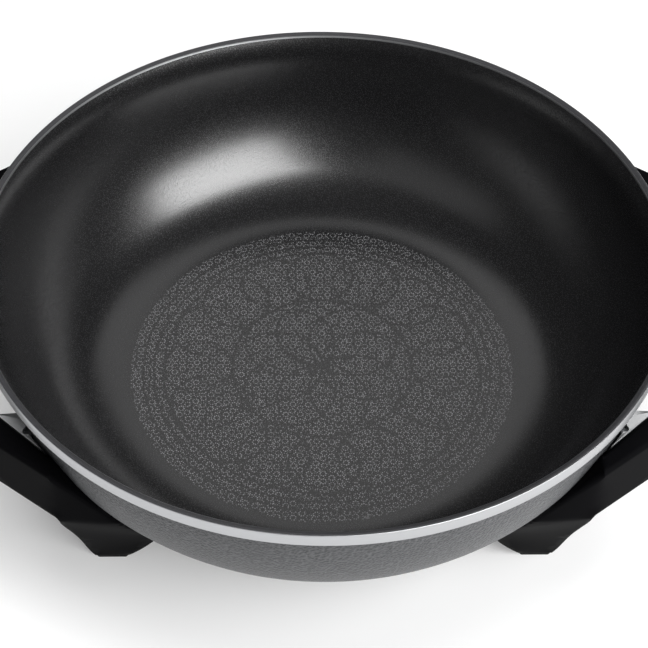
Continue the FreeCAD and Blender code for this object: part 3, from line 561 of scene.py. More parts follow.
# Finish of each CAD node that is shown as it is.
CAD_FINISHES = {
    "front_left_foot_pad": "rubber", "front_right_foot_pad": "rubber",
    "back_left_foot_pad": "rubber", "back_right_foot_pad": "rubber",
    "heating_element": "sheath", "terminal_pins": "nickel", "terminal_insulators": "ceramic",
    "terminal_shroud": "zinc",
    "control_base": "housing", "control_cover": "housing",
    "control_knob": "knob", "knob_shaft": "zinc", "indicator_lens": "lens", "indicator_lamp": "lamp",
    "probe_rod": "sheath", "contact_sleeves": "brass", "switch_block": "phenolic",
    "bimetal_blade": "bimetal", "contact_blade": "brass", "cable_gland": "rubber",
}


# ---------------------------------------------------------------- bowl
@dataclass
class Bowl:
    """Cast bowl: a lathed shell with four lugs, four leg bosses, the element's rib and its block.

    Sizes are taken from the bowl's axis and the table.
    """

    node: Piece
    materials: dict[str, bpy.types.Material]
    axis_y: float = -37.0
    rim_radius: float = 179.98
    rim_height: float = 129.99
    floor_z: float = 36.4
    base_z: float = 29.0
    base_radius: float = 104.0
    base_corner: float = 62.0
    floor_radius: float = 106.0
    floor_corner: float = 56.0
    band_foot: float = 122.4
    outer_top: float = 176.0
    inner_top: float = 172.4
    flare_foot: float = 121.0
    lip_width: float = 3.6
    lip_drop: float = 1.2
    edge: float = 0.5
    edge_steps: int = 4
    bare_edge: float = 60.0
    bead: float = 0.7
    bead_knee: Point = (0.4, 0.1)
    bead_foot: float = 0.5
    flare_steps: int = 4
    flare_points: int = 10
    rounds: int = 320
    arc_steps: int = 22
    shell_smooth: float = 20.0
    features_smooth: float = 30.0
    on_skin: float = 1.2
    sink: float = 1.3
    lug_top: float = 102.0
    lug_slack: float = 0.2
    faced_up: float = 0.9
    slot_inner: float = 173.2
    slot_outer: float = 175.5
    slot_start: float = 33.0
    slot_end: float = 44.0
    slot_bottom: float = 95.5
    slot_top: float = 103.0
    slot_steps: int = 8

    def side(self, corner_x: float, corner_z: float, corner: float, top_x: float,
             top_z: float) -> tuple[list[Point], list[Point]]:
        """Wall of two arcs: a corner arc that runs smoothly into a side arc with an upright top.

        Args:
            corner_x: Radius at which the corner arc leaves the flat.
            corner_z: Height of the flat.
            corner: Radius of the corner arc.
            top_x: Radius at the top.
            top_z: Height of the top.

        Returns:
            The corner arc's points and the side arc's, from below.
        """
        run, rise = top_x - corner_x, top_z - corner_z
        side = (run ** 2 + rise ** 2 - 2 * rise * corner) / (2 * (run - corner))
        turn = math.degrees(math.atan2(rise - corner, side - run))
        low = arc((corner_x, corner_z + corner), corner, -90, -turn, self.arc_steps)
        high = arc((top_x - side, top_z), side, -turn, 0, self.arc_steps)
        return low, high

    def profile(self) -> list[tuple[list[Point], str]]:
        """Closed profile, from the underside's centre round the rim to the floor's centre.

        Returns:
            Each stretch's points and the name of its finish.
        """
        low_out, high_out = self.side(self.base_radius, self.base_z, self.base_corner, self.outer_top,
                                      self.band_foot)
        low_in, high_in = self.side(self.floor_radius, self.floor_z, self.floor_corner, self.inner_top,
                                    self.flare_foot)
        rim, top, edge = self.rim_radius, self.rim_height, self.edge
        lip_in, lip_z = rim - self.lip_width, top - self.lip_drop
        crown = (rim - edge, top - edge)
        outside = [(0.0, self.base_z), (self.base_radius / 2, self.base_z), *low_out, *high_out[1:]]
        step = [(self.outer_top, self.band_foot), (rim - edge, self.band_foot)]
        band = [*arc((rim - edge, self.band_foot + edge), edge, -90, 0, self.edge_steps),
                *arc(crown, edge, 0, self.bare_edge, self.edge_steps)]
        lip = [*arc(crown, edge, self.bare_edge, 90, self.edge_steps // 2), (rim - self.lip_width / 3, top),
               (lip_in + self.bead, lip_z + self.bead / 2)]
        bead = [lip[-1], (lip_in + self.bead * self.bead_knee[0], lip_z + self.bead * self.bead_knee[1]),
                (lip_in, lip_z - self.bead_foot)]
        low, mouth = high_in[-self.flare_steps], bead[-1]
        flare = [tuple((1 - t) ** 2 * a + 2 * t * (1 - t) * b + t ** 2 * c
                       for a, b, c in zip(mouth, (self.inner_top, self.flare_foot), low))
                 for t in (step / self.flare_points for step in range(self.flare_points + 1))]
        inside = [*high_in[-self.flare_steps::-1], *low_in[::-1][1:], (self.floor_radius / 2, self.floor_z),
                  (0.0, self.floor_z)]
        return [(outside, "paint"), (step, "paint"), (band, "band"), (lip, "lip"), (bead, "band"),
                (flare, "coat"), (inside, "coat")]

    @cached_property
    def runs(self) -> list[tuple[Point, Point]]:
        """Straight runs of the profile, in order."""
        line = [point for stretch, _finish in self.profile() for point in stretch]
        return [run for run in zip(line, line[1:]) if math.dist(*run) > TINY]

    def place(self, radius: float, height: float, angle: float) -> Vector:
        """Point in metres at a radius and a height, and an angle in radians round the bowl's axis."""
        return Vector((radius * math.cos(angle), radius * math.sin(angle) + self.axis_y, height)) * MM

    def shell(self) -> Piece:
        """Turn the profile round the bowl's axis as one closed skin.

        Returns:
            The shell.
        """
        names = ["paint", "band", "lip", "coat"]
        points: list[Point] = []
        faces: list[int] = []
        for stretch, finish in self.profile():
            points += stretch[1:] if points else stretch
            faces += [names.index(finish)] * (len(stretch) - 1)
        shape = bmesh.new()
        rings: list[list[Vert]] = []
        for radius, height in points:
            spokes = 1 if radius < TINY else self.rounds
            rings.append([shape.verts.new(self.place(radius, height, math.tau * number / self.rounds))
                          for number in range(spokes)])
        for row, finish in enumerate(faces):
            low, high = rings[row], rings[row + 1]
            for number in range(self.rounds):
                after = (number + 1) % self.rounds
                corners = [low[number % len(low)], low[after % len(low)], high[after % len(high)],
                           high[number % len(high)]]
                face = shape.faces.new(list(dict.fromkeys(corners)))
                face.material_index = finish
        bmesh.ops.recalc_face_normals(shape, faces=shape.faces)
        piece = from_bmesh("bowl_shell", shape, self.shell_smooth)
        dress(piece, [self.materials[name] for name in names])
        return piece

    def build(self) -> list[Piece]:
        """Make the shell, and the casting's other features from the frame's own node.

        Returns:
            Both pieces.
        """
        shell = self.shell()
        features = self.features()
        for piece in (shell, features):
            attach(piece, "wok")
            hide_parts("bowl")
        return [shell, features]

    def features(self) -> Piece:
        """Lugs, bosses, rib and terminal block: the casting's node, with its skin sunk under the shell's.

        Returns:
            The features in one piece.
        """
        solid = from_bmesh("casting", merged(self.node))
        shape = carved(solid, self.slots())
        shape.normal_update()
        for face in shape.faces:
            middle = face.calc_center_median()
            on_lug = abs(middle.z / MM - self.lug_top) < self.lug_slack and math.hypot(
                middle.x / MM, middle.y / MM - self.axis_y) > self.slot_inner
            face.material_index = int(on_lug and face.normal.z > self.faced_up)
        for vert in shape.verts:
            gap, inwards = self.off_profile(vert.co)
            if gap < self.on_skin:
                vert.co += inwards * self.sink * MM
        piece = from_bmesh("bowl_features", shape, self.features_smooth)
        dress(piece, [self.materials["paint"], self.materials["faced"]])
        return piece

    def slots(self) -> Piece:
        """Cutters for the narrow slot between the wall and each lug, from the screw hole to the lug's tip.

        Returns:
            The four cutters in one piece.
        """
        shape = bmesh.new()
        section = ((self.slot_inner, self.slot_bottom), (self.slot_outer, self.slot_bottom),
                   (self.slot_outer, self.slot_top), (self.slot_inner, self.slot_top))
        for side_x, side_y in ((-1, -1), (-1, 1), (1, -1), (1, 1)):
            rings = []
            for step in range(self.slot_steps + 1):
                a = math.radians(self.slot_start + (self.slot_end - self.slot_start) * step / self.slot_steps)
                rings.append([shape.verts.new(Vector((side_x * r * math.cos(a),
                                                      side_y * r * math.sin(a) + self.axis_y, z)) * MM)
                              for r, z in section])
            for near, far in zip(rings, rings[1:]):
                for corner in range(4):
                    after = (corner + 1) % 4
                    shape.faces.new([near[corner], near[after], far[after], far[corner]])
            shape.faces.new(rings[0])
            shape.faces.new(rings[-1][::-1])
        bmesh.ops.recalc_face_normals(shape, faces=shape.faces)
        return from_bmesh("slot_cutters", shape)

    def off_profile(self, point: Vector) -> tuple[float, Vector]:
        """Compare a point with the shell's profile.

        Args:
            point: A point in metres.

        Returns:
            Its distance from the profile in millimetres, and the way into the metal.
        """
        across = Vector((point.x, point.y - self.axis_y * MM, 0.0)).normalized()
        spot = (math.hypot(point.x / MM, point.y / MM - self.axis_y), point.z / MM)
        near = min(self.runs, key=lambda run: segment_gap(spot, *run))
        run = Vector((near[1][0] - near[0][0], near[1][1] - near[0][1])).normalized()
        return segment_gap(spot, *near), across * -run.y + Vector((0.0, 0.0, run.x))


# ---------------------------------------------------------------- handle mouldings
@dataclass
class Moulding:
    """One handle-and-leg moulding: the node's form with the soft turns between arm and leg of a real moulding.

    Sizes are taken from the bowl's axis and the table.
    """

    node: Piece
    material: bpy.types.Material
    bowl: Bowl
    longest: float = 2.2
    splits: int = 6
    soft_passes: int = 60
    soft_pull: float = 0.5
    soft_low: Spot = (84.0, 112.0, 38.0)
    soft_high: Spot = (152.0, 142.0, 100.0)
    fade: float = 9.0
    underside: float = -0.75
    front_least: float = 0.3
    ledge_least: float = 0.5
    close_gap: float = 1.6
    smooth_below: float = 50.0

    def build(self) -> Piece:
        """Split the node's long triangles at the turns, ease them and close the skin up to the wall.

        Returns:
            The moulding.
        """
        shape = merged(self.node)
        self.split(shape)
        self.ease(shape)
        for vert in shape.verts:
            self.meet_wall(vert)
        piece = from_bmesh(self.node.name + "_skin", shape, self.smooth_below)
        dress(piece, [self.material])
        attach(piece, "wok")
        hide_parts(self.node.name)
        return piece

    def split(self, shape: Shape) -> None:
        """Halve the edges at the turns until none there is longer than the limit.

        Args:
            shape: The moulding's skin.
        """
        for _round in range(self.splits):
            wide = [edge for edge in shape.edges if edge.calc_length() > self.longest * MM
                    and self.inside(edge.verts[0].co.lerp(edge.verts[1].co, 0.5)) > -edge.calc_length() / MM]
            if not wide:
                break
            bmesh.ops.subdivide_edges(shape, edges=wide, cuts=1)
            bmesh.ops.triangulate(shape, faces=[face for face in shape.faces if len(face.verts) > 3])

    def ease(self, shape: Shape) -> None:
        """Even out the outer skin at the turns, with its outline left where it is.

        Args:
            shape: The moulding's skin.
        """
        shape.normal_update()
        weights = {vert: self.at_turn(vert) for vert in shape.verts}
        near = {vert: [edge.other_vert(vert) for edge in vert.link_edges]
                for vert, weight in weights.items() if weight > 0.0}
        for _pass in range(self.soft_passes):
            goals = {vert: sum((other.co for other in others), Vector()) / len(others)
                     for vert, others in near.items()}
            for vert, goal in goals.items():
                vert.co = vert.co.lerp(goal, self.soft_pull * weights[vert])

    def at_turn(self, vert: Vert) -> float:
        """Weigh how far a vertex follows its neighbours.

        Args:
            vert: A vertex of the skin.

        Returns:
            A weight that fades out at the turns' borders, and 0 beside a face that is neither front nor ledge.
        """
        side = math.copysign(1.0, vert.co.y / MM - self.bowl.axis_y)
        for face in vert.link_faces:
            front, up = face.normal.y * side, face.normal.z
            if up < self.underside or (front < self.front_least and up < self.ledge_least):
                return 0.0
        return min(max(self.inside(vert.co) / self.fade, 0.0), 1.0)

    def inside(self, place: Vector) -> float:
        """Millimetres from a place to the nearest border of the turns' box, below 0 outside it."""
        spot = (abs(place.x) / MM, abs(place.y / MM - self.bowl.axis_y), place.z / MM)
        return min(min(at - low, high - at) for at, low, high in zip(spot, self.soft_low, self.soft_high))

    def meet_wall(self, vert: Vert) -> None:
        """Take a vertex that stands just off the bowl's wall up to it.

        Args:
            vert: A vertex of the skin.
        """
        if self.soft_low[2] < vert.co.z / MM < self.soft_high[2]:
            gap, inwards = self.bowl.off_profile(vert.co)
            if gap < self.close_gap:
                vert.co += inwards * gap * MM


# ---------------------------------------------------------------- embossed floor
@dataclass
class EmbossedFloor:
    """Raised studs in little rings over the bowl's floor, left out along a rosette of smooth lines.

    The circles are shares of the disc's radius. The outer petals are their number, and shares of the inner
    petals' centre and radius.
    """

    # The studs' material is paler than the coat: a painted highlight on each stud.
    material: bpy.types.Material
    bowl: Bowl
    disc_radius: float = 106.4
    cell_pitch: float = 4.7
    ring_radius: float = 1.55
    ring_studs: int = 8
    stud_radius: float = 0.36
    stud_height: float = 0.30
    stud_sides: int = 6
    stud_least: float = 0.72
    stud_most: float = 1.25
    stud_sunk: float = 0.02
    smooth_below: float = 80.0
    line_width: float = 1.25
    circles: tuple[float, ...] = (0.47, 0.83, 0.88, 0.935)
    circle_sides: int = 128
    petals: int = 8
    petal_radius: float = 25.0
    petal_centre: float = 25.0
    petal_sides: int = 72
    outer_petals: tuple[int, float, float] = (16, 2.76, 0.76)
    jitter: float = 0.13
    seed: int = 11

    def build(self) -> Piece:
        """Grow the studs and seat them on the floor.

        Returns:
            All the studs in one piece.
        """
        sizes = {"Disc Radius": self.disc_radius * MM, "Cell Pitch": self.cell_pitch * MM,
                 "Ring Radius": self.ring_radius * MM, "Stud Radius": self.stud_radius * MM,
                 "Stud Height": self.stud_height * MM, "Line Width": self.line_width * MM,
                 "Ring Studs": self.ring_studs, "Petals": self.petals,
                 "Petal Radius": self.petal_radius * MM, "Petal Centre": self.petal_centre * MM,
                 "Seed": self.seed}
        tree, size = new_geometry_tree("embossed_floor", sizes)
        spots = self.clear_lines(tree, size, self.cells(tree, size))
        stud = first(tree, "GeometryNodeMeshCone", {"fill_type": "NGON"}, {
            "Vertices": self.stud_sides, "Radius Top": 0.0, "Radius Bottom": size["Stud Radius"],
            "Depth": size["Stud Height"]})
        shrink = add_node(tree, "FunctionNodeRandomValue", {"data_type": "FLOAT"}, {
            "Min": self.stud_least, "Max": self.stud_most, "Seed": size["Seed"]})
        studs = first(tree, "GeometryNodeInstanceOnPoints", inputs={
            "Points": spots, "Instance": stud, "Scale": shrink.outputs["Value"]})
        seat = Vector((0, self.bowl.axis_y, self.bowl.floor_z - self.stud_sunk)) * MM
        piece = grow("floor_emboss", tree, moved(tree, studs, seat), sizes, self.material, self.smooth_below)
        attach(piece, "wok")
        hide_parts("bowl")
        return piece

    def cells(self, tree: Tree, size: dict[str, Socket]) -> Socket:
        """Set a ring of points round each cell of a honeycomb, cut to the disc.

        Args:
            tree: The floor's tree.
            size: The sockets of its sizes.

        Returns:
            The points.
        """
        rows = 2 * math.ceil(self.disc_radius / self.cell_pitch / ROW_STEP) + 1
        columns = 2 * math.ceil(self.disc_radius / self.cell_pitch) + 2
        pitch, seed = size["Cell Pitch"], size["Seed"]
        grid = first(tree, "GeometryNodeMeshGrid", inputs={
            "Size X": maths(tree, "MULTIPLY", pitch, ROW_STEP * (rows - 1)),
            "Size Y": maths(tree, "MULTIPLY", pitch, float(columns - 1)),
            "Vertices X": rows, "Vertices Y": columns})
        row = maths(tree, "DIVIDE", first(tree, "GeometryNodeInputIndex"), float(columns))
        odd = maths(tree, "MODULO", maths(tree, "FLOOR", row), 2.0)
        slide = maths(tree, "MULTIPLY", maths(tree, "MULTIPLY", odd, pitch), 0.5)
        least, most = (vector(tree, X=reach, Y=reach) for reach in (
            maths(tree, "MULTIPLY", pitch, share) for share in (-self.jitter, self.jitter)))
        stray = add_node(tree, "FunctionNodeRandomValue", {"data_type": "FLOAT_VECTOR"}, {
            "Min": least, "Max": most, "Seed": seed})
        offset = first(tree, "ShaderNodeVectorMath", {"operation": "ADD"}, {
            0: vector(tree, Y=slide), 1: stray.outputs["Value"]})
        comb = first(tree, "GeometryNodeSetPosition", inputs={0: grid, "Offset": offset})
        ring = first(tree, "GeometryNodeMeshCircle", {"fill_type": "NONE"}, {
            "Vertices": size["Ring Studs"], "Radius": size["Ring Radius"]})
        spin = add_node(tree, "FunctionNodeRandomValue", {"data_type": "FLOAT"}, {
            "Min": 0.0, "Max": math.tau, "Seed": seed})
        rings = first(tree, "GeometryNodeInstanceOnPoints", inputs={
            "Points": comb, "Instance": ring, "Rotation": vector(tree, Z=spin.outputs["Value"])})
        real = first(tree, "GeometryNodeRealizeInstances", inputs={0: rings})
        far = add_node(tree, "ShaderNodeVectorMath", {"operation": "LENGTH"}, {
            0: first(tree, "GeometryNodeInputPosition")})
        outside = first(tree, "FunctionNodeCompare", {"operation": "GREATER_THAN"}, {
            0: far.outputs["Value"], 1: size["Disc Radius"]})
        kept = first(tree, "GeometryNodeDeleteGeometry", {"domain": "POINT"}, {0: real, "Selection": outside})
        return first(tree, "GeometryNodeMeshToPoints", inputs={0: kept})

    def clear_lines(self, tree: Tree, size: dict[str, Socket], spots: Socket) -> Socket:
        """Take away the points that lie on the rosette's lines.

        Args:
            tree: The floor's tree.
            size: The sockets of its sizes.
            spots: The points.

        Returns:
            The points that stay.
        """
        joined = add_node(tree, "GeometryNodeJoinGeometry")

        def circle(sides: Any, radius: Socket, share: float) -> Socket:
            """Open circle with a share of a radius."""
            return first(tree, "GeometryNodeMeshCircle", {"fill_type": "NONE"}, {
                "Vertices": sides, "Radius": maths(tree, "MULTIPLY", radius, share)})

        for share in self.circles:
            tree.links.new(circle(self.circle_sides, size["Disc Radius"], share), joined.inputs[0])
        for count, centre, reach in ((size["Petals"], 1.0, 1.0), self.outer_petals):
            petals = first(tree, "GeometryNodeInstanceOnPoints", inputs={
                "Points": circle(count, size["Petal Centre"], centre),
                "Instance": circle(self.petal_sides, size["Petal Radius"], reach)})
            real = first(tree, "GeometryNodeRealizeInstances", inputs={0: petals})
            tree.links.new(real, joined.inputs[0])
        near = add_node(tree, "GeometryNodeProximity", {"target_element": "EDGES"}, {0: joined.outputs[0]})
        on_line = first(tree, "FunctionNodeCompare", {"operation": "LESS_THAN"}, {
            0: near.outputs["Distance"], 1: maths(tree, "MULTIPLY", size["Line Width"], 0.5)})
        return first(tree, "GeometryNodeDeleteGeometry", {"domain": "POINT"}, {0: spots, "Selection": on_line})


# ---------------------------------------------------------------- screws
@dataclass(frozen=True)
class ScrewGroup:
    """Screws of one kind that stand at the corners of a rectangle, or at two places where it has no depth.

    The middle is that of the heads' outer faces, and the lean tips the screws from upright about X.
    """

    node: str
    body: str
    middle: Spot
    span_x: float
    span_y: float
    head_radius: float
    head_height: float
    shank_radius: float
    length: float
    lean: float = 0.0


@dataclass
class PanHeads:
    """Pan-head screws with a cross recess, set out group by group.

    Shares are of the head's height or radius, or of the screw's length.
    """

    material: bpy.types.Material
    head_sides: int = 32
    shank_sides: int = 24
    dome_share: float = 0.4
    face_share: float = 0.72
    shank_share: float = 0.9
    cross_long: float = 1.15
    cross_wide: float = 0.26
    cross_deep: float = 1.2
    smooth_below: float = 30.0
    groups: tuple[ScrewGroup, ...] = (
        ScrewGroup("lug_screws", "wok", (0.0, -37.0, 81.6), 291.0, 196.0, 3.99, 2.6, 1.94, 18.39),
        ScrewGroup("leg_screws", "wok", (0.0, -37.0, 21.1), 196.0, 192.0, 3.99, 2.6, 1.94, 15.89),
        ScrewGroup("shroud_screws", "wok", (0.0, 78.5, 21.0), 16.8, 0.0, 3.39, 2.2, 1.64, 12.49, 90.0),
        ScrewGroup("control_screws", "control", (0.0, 160.0, 8.3), 48.0, 80.0, 2.94, 1.9, 1.44, 28.69),
    )

    def build(self) -> list[Piece]:
        """Grow each group in place of its node.

        Returns:
            A piece for each group.
        """
        pieces = []
        for group in self.groups:
            sizes = {"Span X": group.span_x * MM, "Span Y": group.span_y * MM,
                     "Head Radius": group.head_radius * MM, "Head Height": group.head_height * MM,
                     "Shank Radius": group.shank_radius * MM, "Length": group.length * MM}
            tree, size = new_geometry_tree(group.node, sizes)
            grid = first(tree, "GeometryNodeMeshGrid", inputs={
                "Size X": size["Span X"], "Size Y": size["Span Y"], "Vertices X": 2, "Vertices Y": 2})
            spots = first(tree, "GeometryNodeMergeByDistance", inputs={0: grid})
            screws = first(tree, "GeometryNodeInstanceOnPoints", inputs={
                "Points": moved(tree, spots, Vector(group.middle) * MM), "Instance": self.screw(tree, size),
                "Rotation": (math.radians(group.lean), 0.0, 0.0)})
            piece = grow(group.node + "_cross", tree, screws, sizes, self.material, self.smooth_below)
            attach(piece, group.body)
            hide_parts(group.node)
            pieces.append(piece)
        return pieces

    def screw(self, tree: Tree, size: dict[str, Socket]) -> Socket:
        """Form one screw that points up from its head's outer face at the origin.

        Args:
            tree: The group's tree.
            size: The sockets of its sizes.

        Returns:
            The screw's geometry.
        """
        def times(label: str, share: float) -> Socket:
            """Share of a size."""
            return maths(tree, "MULTIPLY", size[label], share)

        dome = first(tree, "GeometryNodeMeshCone", inputs={
            "Vertices": self.head_sides, "Side Segments": 1, "Radius Top": size["Head Radius"],
            "Radius Bottom": times("Head Radius", self.face_share),
            "Depth": times("Head Height", self.dome_share)})
        rim = first(tree, "GeometryNodeMeshCylinder", inputs={
            "Vertices": self.head_sides, "Radius": size["Head Radius"],
            "Depth": times("Head Height", 1 - self.dome_share)})
        shank = first(tree, "GeometryNodeMeshCylinder", inputs={
            "Vertices": self.shank_sides, "Radius": size["Shank Radius"],
            "Depth": times("Length", self.shank_share)})
        whole = add_node(tree, "GeometryNodeMeshBoolean", {"operation": "UNION", "solver": "EXACT"})
        for part in (dome, moved(tree, rim, vector(tree, Z=times("Head Height", (1 + self.dome_share) / 2))),
                     moved(tree, shank, vector(tree, Z=times("Length", 1 - self.shank_share / 2)))):
            tree.links.new(part, whole.inputs["Mesh 2"])
        cut = add_node(tree, "GeometryNodeMeshBoolean", {"operation": "DIFFERENCE", "solver": "EXACT"}, {
            "Mesh 1": whole.outputs["Mesh"]})
        for along_x, along_y in ((self.cross_long, self.cross_wide), (self.cross_wide, self.cross_long)):
            blade = vector(tree, X=times("Head Radius", along_x), Y=times("Head Radius", along_y),
                           Z=times("Head Height", self.cross_deep))
            box = first(tree, "GeometryNodeMeshCube", inputs={"Size": blade})
            tree.links.new(box, cut.inputs["Mesh 2"])
        return cut.outputs["Mesh"]


# ---------------------------------------------------------------- dial
@dataclass
class Dial:
    """Printed ticks and plain numbers round the knob, and the knob's pointer.

    Angles run from +X, and the knob turns clockwise from its start.
    """

    ink: bpy.types.Material
    middle: Point = (0.0, 170.0)
    cover_top: float = 44.0
    knob_top: float = 59.6
    start: float = 50.0
    sweep: float = 280.0
    numbers: int = 6
    ticks: int = 21
    tick_inner: float = 23.0
    tick_length: float = 1.3
    tick_width: float = 0.35
    number_radius: float = 27.2
    number_height: float = 3.6
    type_size: float = 1.4
    ink_depth: float = 0.05
    pointer_inner: float = 7.0
    pointer_length: float = 8.5
    pointer_width: float = 1.3
    pointer_corner: float = 0.4
    corner_steps: int = 4

    def build(self) -> list[Piece]:
        """Print the dial on the cover and the pointer on the knob.

        Returns:
            The ticks, the numbers and the pointer.
        """
        pieces = [self.tick_ring()]
        for number in range(self.numbers):
            pieces.append(self.numeral(number))
        for piece in pieces:
            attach(piece, "control")
        pointer = self.pointer()
        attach(pointer, "knob")
        return [*pieces, pointer]

    def tick_ring(self) -> Piece:
        """Set ticks at even steps over the knob's sweep.

        Returns:
            All the ticks in one piece.
        """
        sizes = {"Radius": (self.tick_inner + self.tick_length / 2) * MM, "Length": self.tick_length * MM,
                 "Width": self.tick_width * MM, "Depth": self.ink_depth * MM, "Ticks": self.ticks,
                 "Start": math.radians(self.start), "Step": -math.radians(self.sweep / (self.ticks - 1))}
        tree, size = new_geometry_tree("dial_ticks", sizes)
        bar = first(tree, "GeometryNodeMeshCube", inputs={
            "Size": vector(tree, X=size["Length"], Y=size["Width"], Z=size["Depth"])})
        spots = first(tree, "GeometryNodeMeshLine", inputs={"Count": size["Ticks"], "Offset": (0.0, 0.0, 0.0)})
        turn = maths(tree, "MULTIPLY_ADD", first(tree, "GeometryNodeInputIndex"), size["Step"], size["Start"])
        ring = first(tree, "GeometryNodeInstanceOnPoints", inputs={
            "Points": spots, "Instance": moved(tree, bar, vector(tree, X=size["Radius"])),
            "Rotation": vector(tree, Z=turn)})
        seat = Vector((*self.middle, self.cover_top + self.ink_depth / 2)) * MM
        return grow("dial_ticks", tree, moved(tree, ring, seat), sizes, self.ink)

    def numeral(self, number: int) -> Piece:
        """Print one plain number, upright for somebody who stands at the cord's end.

        Args:
            number: The number.

        Returns:
            The number as a piece.
        """
        curve = bpy.data.curves.new(f"number_{number}", "FONT")
        curve.body = str(number)
        curve.size = self.number_height * self.type_size * MM
        curve.extrude = self.ink_depth / 2 * MM
        curve.align_x, curve.align_y = "CENTER", "CENTER"
        mesh = baked(shown(f"number_{number}_text", curve))
        angle = math.radians(self.start - self.sweep * number / (self.numbers - 1))
        spot = Vector((self.middle[0] + self.number_radius * math.cos(angle),
                       self.middle[1] + self.number_radius * math.sin(angle),
                       self.cover_top + self.ink_depth / 2)) * MM
        mesh.transform(Matrix.Translation(spot) @ Matrix.Rotation(math.pi, 4, "Z"))
        piece = make_object(f"dial_number_{number}", mesh)
        dress(piece, [self.ink])
        return piece

    def pointer(self) -> Piece:
        """Let a white bar into the knob's top, towards the first number.

        Returns:
            The bar.
        """
        shape = bmesh.new()
        bmesh.ops.create_cube(shape, size=1.0)
        bmesh.ops.scale(shape, vec=Vector((self.pointer_length, self.pointer_width, self.ink_depth * 2)) * MM,
                        verts=shape.verts)
        bmesh.ops.translate(shape, vec=Vector((self.pointer_inner + self.pointer_length / 2, 0, 0)) * MM,
                            verts=shape.verts)
        ends = [edge for edge in shape.edges
                if abs(edge.verts[0].co.z - edge.verts[1].co.z) > self.ink_depth * MM]
        bmesh.ops.bevel(shape, geom=ends, offset=self.pointer_width * self.pointer_corner * MM,
                        segments=self.corner_steps, affect="EDGES")
        shape.transform(Matrix.Translation(Vector((*self.middle, self.knob_top)) * MM)
                        @ Matrix.Rotation(math.radians(self.start), 4, "Z"))
        piece = from_bmesh("knob_pointer", shape)
        dress(piece, [self.ink])
        return piece


# ---------------------------------------------------------------- studio
@dataclass(frozen=True)
class Lamp:
    """Soft box that faces the bowl.

    Args:
        name: Name of the lamp.
        azimuth: Degrees from +Y towards +X.
        height: Degrees above the table.
        distance: Metres from the target.
        watts: Power.
        width: Width in metres.
        tall: Height in metres.
        mirrored: Whether glossy surfaces show the lamp.
    """

    name: str
    azimuth: float
    height: float
    distance: float
    watts: float
    width: float
    tall: float
    mirrored: bool = True

    def build(self, target: Vector) -> None:
        """Set up the lamp.

        Args:
            target: The place that it faces, in metres.
        """
        data = bpy.data.lights.new(self.name, "AREA")
        data.shape = "RECTANGLE"
        data.size = self.width
        data.size_y = self.tall
        data.energy = self.watts
        box = shown(self.name, data)
        box.visible_glossy = self.mirrored
        a, e = math.radians(self.azimuth), math.radians(self.height)
        away = Vector((math.sin(a) * math.cos(e), math.cos(a) * math.cos(e), math.sin(e)))
        box.location = target + away * self.distance
        box.rotation_euler = away.to_track_quat("Z", "Y").to_euler()


def seen_by(tree: Tree, *rays: str) -> Socket:
    """Tell kinds of ray apart from the rest.

    Args:
        tree: Tree of a material or of the world.
        rays: Kinds of ray, as the light path names them.

    Returns:
        A mask, 1 for these kinds and 0 for the others.
    """
    path = add_node(tree, "ShaderNodeLightPath")
    mask = path.outputs[f"Is {rays[0]} Ray"]
    for ray in rays[1:]:
        mask = maths(tree, "MAXIMUM", mask, path.outputs[f"Is {ray} Ray"])
    return mask


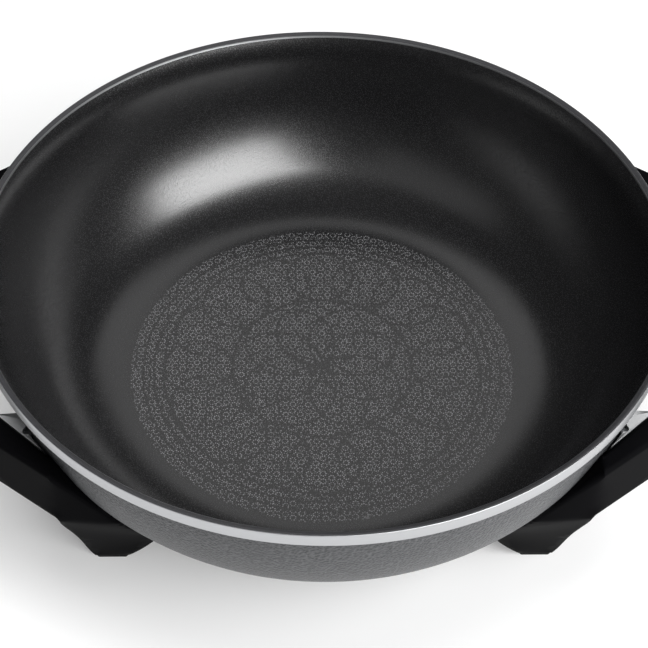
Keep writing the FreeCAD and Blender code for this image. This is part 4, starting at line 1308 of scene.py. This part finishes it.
@dataclass
class Studio:
    """White table, white surround, soft lamps and the camera. Its lengths are in metres."""

    look_from: Spot = (-0.0157, -0.6164, 0.7065)
    tilt_down: float = 47.65
    yaw: float = -0.95
    roll: float = 0.5
    lens: float = 88.15
    sensor: float = 36.0
    shift: float = 0.0195
    clip: Point = (0.02, 30.0)
    target: Spot = (0.0, -0.037, 0.08)
    surround: float = 0.06
    glow: float = 0.25
    paper: str = "#f0f0f0"
    table_half: float = 4.0
    table_drop: float = 0.0002
    lamps: tuple[Lamp, ...] = (
        Lamp("key", 136.0, 41.0, 1.5, 30.0, 1.3, 0.95),
        Lamp("fill", -130.0, 45.0, 1.6, 1.2, 1.4, 0.9),
        Lamp("side", 112.0, 14.0, 1.2, 4.0, 0.8, 0.4, mirrored=False),
        Lamp("top", 0.0, 84.0, 1.7, 26.0, 1.1, 1.1, mirrored=False),
        Lamp("back", 5.0, 52.0, 1.7, 1.6, 1.2, 0.6),
    )

    def camera(self) -> None:
        """Set the camera at the viewing angle and make it the scene's."""
        data = bpy.data.cameras.new("camera")
        data.lens = self.lens
        data.sensor_width = self.sensor
        data.shift_x = self.shift
        data.clip_start, data.clip_end = self.clip
        eye = shown("camera", data)
        turn = Matrix.Rotation(math.radians(self.yaw), 4, "Z")
        tilt = Matrix.Rotation(math.radians(90 - self.tilt_down), 4, "X")
        lean = Matrix.Rotation(math.radians(self.roll), 4, "Z")
        eye.matrix_world = Matrix.Translation(Vector(self.look_from)) @ turn @ tilt @ lean
        bpy.context.scene.camera = eye

    def world(self) -> None:
        """Make the surround white to the eye and dim as a light.

        Glossy rays find it dim too, on purpose: the table fills what the metal shows, and a white world
        would wash out the highlight on the coat.
        """
        world = bpy.data.worlds.new("surround")
        bpy.context.scene.world = world
        tree = empty_tree(world)
        strength = first(tree, "ShaderNodeMapRange", inputs={
            "Value": seen_by(tree, "Camera", "Transmission"), "To Min": self.surround, "To Max": 1.0})
        shade = first(tree, "ShaderNodeBackground", inputs={"Strength": strength, "Color": linear("#ffffff")})
        add_node(tree, "ShaderNodeOutputWorld", inputs={0: shade})

    def table(self) -> None:
        """Lay a large white table that keeps the object's shadow, and glows a little where it is seen."""
        shape = bmesh.new()
        bmesh.ops.create_grid(shape, x_segments=2, y_segments=2, size=self.table_half)
        table = from_bmesh("table", shape)
        table.location.z = -self.table_drop
        material = bpy.data.materials.new("white_paper")
        tree = empty_tree(material)
        paper = first(tree, "ShaderNodeBsdfDiffuse", inputs={"Color": linear(self.paper)})
        glow = first(tree, "ShaderNodeEmission", inputs={"Color": linear("#ffffff")})
        share = maths(tree, "MULTIPLY", seen_by(tree, "Camera", "Glossy", "Transmission"), self.glow)
        both = first(tree, "ShaderNodeMixShader", inputs={0: share, 1: paper, 2: glow})
        add_node(tree, "ShaderNodeOutputMaterial", inputs={0: both})
        dress(table, [material])

    def build(self) -> None:
        """Set up the whole studio."""
        bpy.context.scene.view_settings.view_transform = "Standard"
        self.camera()
        self.world()
        self.table()
        for lamp in self.lamps:
            lamp.build(Vector(self.target))


# ---------------------------------------------------------------- the whole object
def refine(frame: dict[str, Any], node: str, material: bpy.types.Material, smooth_below: float = 32.0) -> None:
    """Show a node as a copy with its triangles joined, so that its curved faces shade smoothly.

    Args:
        frame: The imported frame.
        node: Name of the node.
        material: Material of the copy.
        smooth_below: Angle in degrees under which faces are shaded smooth.
    """
    piece = from_bmesh(node + "_form", merged(frame["nodes"][node]), smooth_below)
    dress(piece, [material])
    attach(piece, body_of(frame, node))
    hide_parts(node)
    LOG.info("refined %s in %s", node, material.name)


def body_of(frame: dict[str, Any], node: str) -> str:
    """Find the body that a node rides on.

    Args:
        frame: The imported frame.
        node: Name of the node.

    Returns:
        Name of the body.
    """
    for body, members in frame["record"]["behaviour"]["bodies"].items():
        if node in members:
            return body
    raise KeyError(node)


def main() -> None:
    """Build every sub-assembly in order."""
    logging.basicConfig(level=logging.INFO, format="%(message)s")
    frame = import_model()
    materials = {name: finish.build() for name, finish in FINISHES.items()}
    bowl = Bowl(frame["nodes"]["bowl"], materials)
    made = [*bowl.build(), EmbossedFloor(materials["studs"], bowl).build(),
            *PanHeads(materials["zinc"]).build(), *Dial(materials["print"]).build(),
            *(Moulding(frame["nodes"][node], materials["phenolic"], bowl).build()
              for node in ("left_handle", "right_handle"))]
    for piece in made:
        LOG.info("made %s with %d faces", piece.name, len(piece.data.polygons))
    for node, finish in CAD_FINISHES.items():
        refine(frame, node, materials[finish])
    Studio().build()


if __name__ == "__main__":
    main()
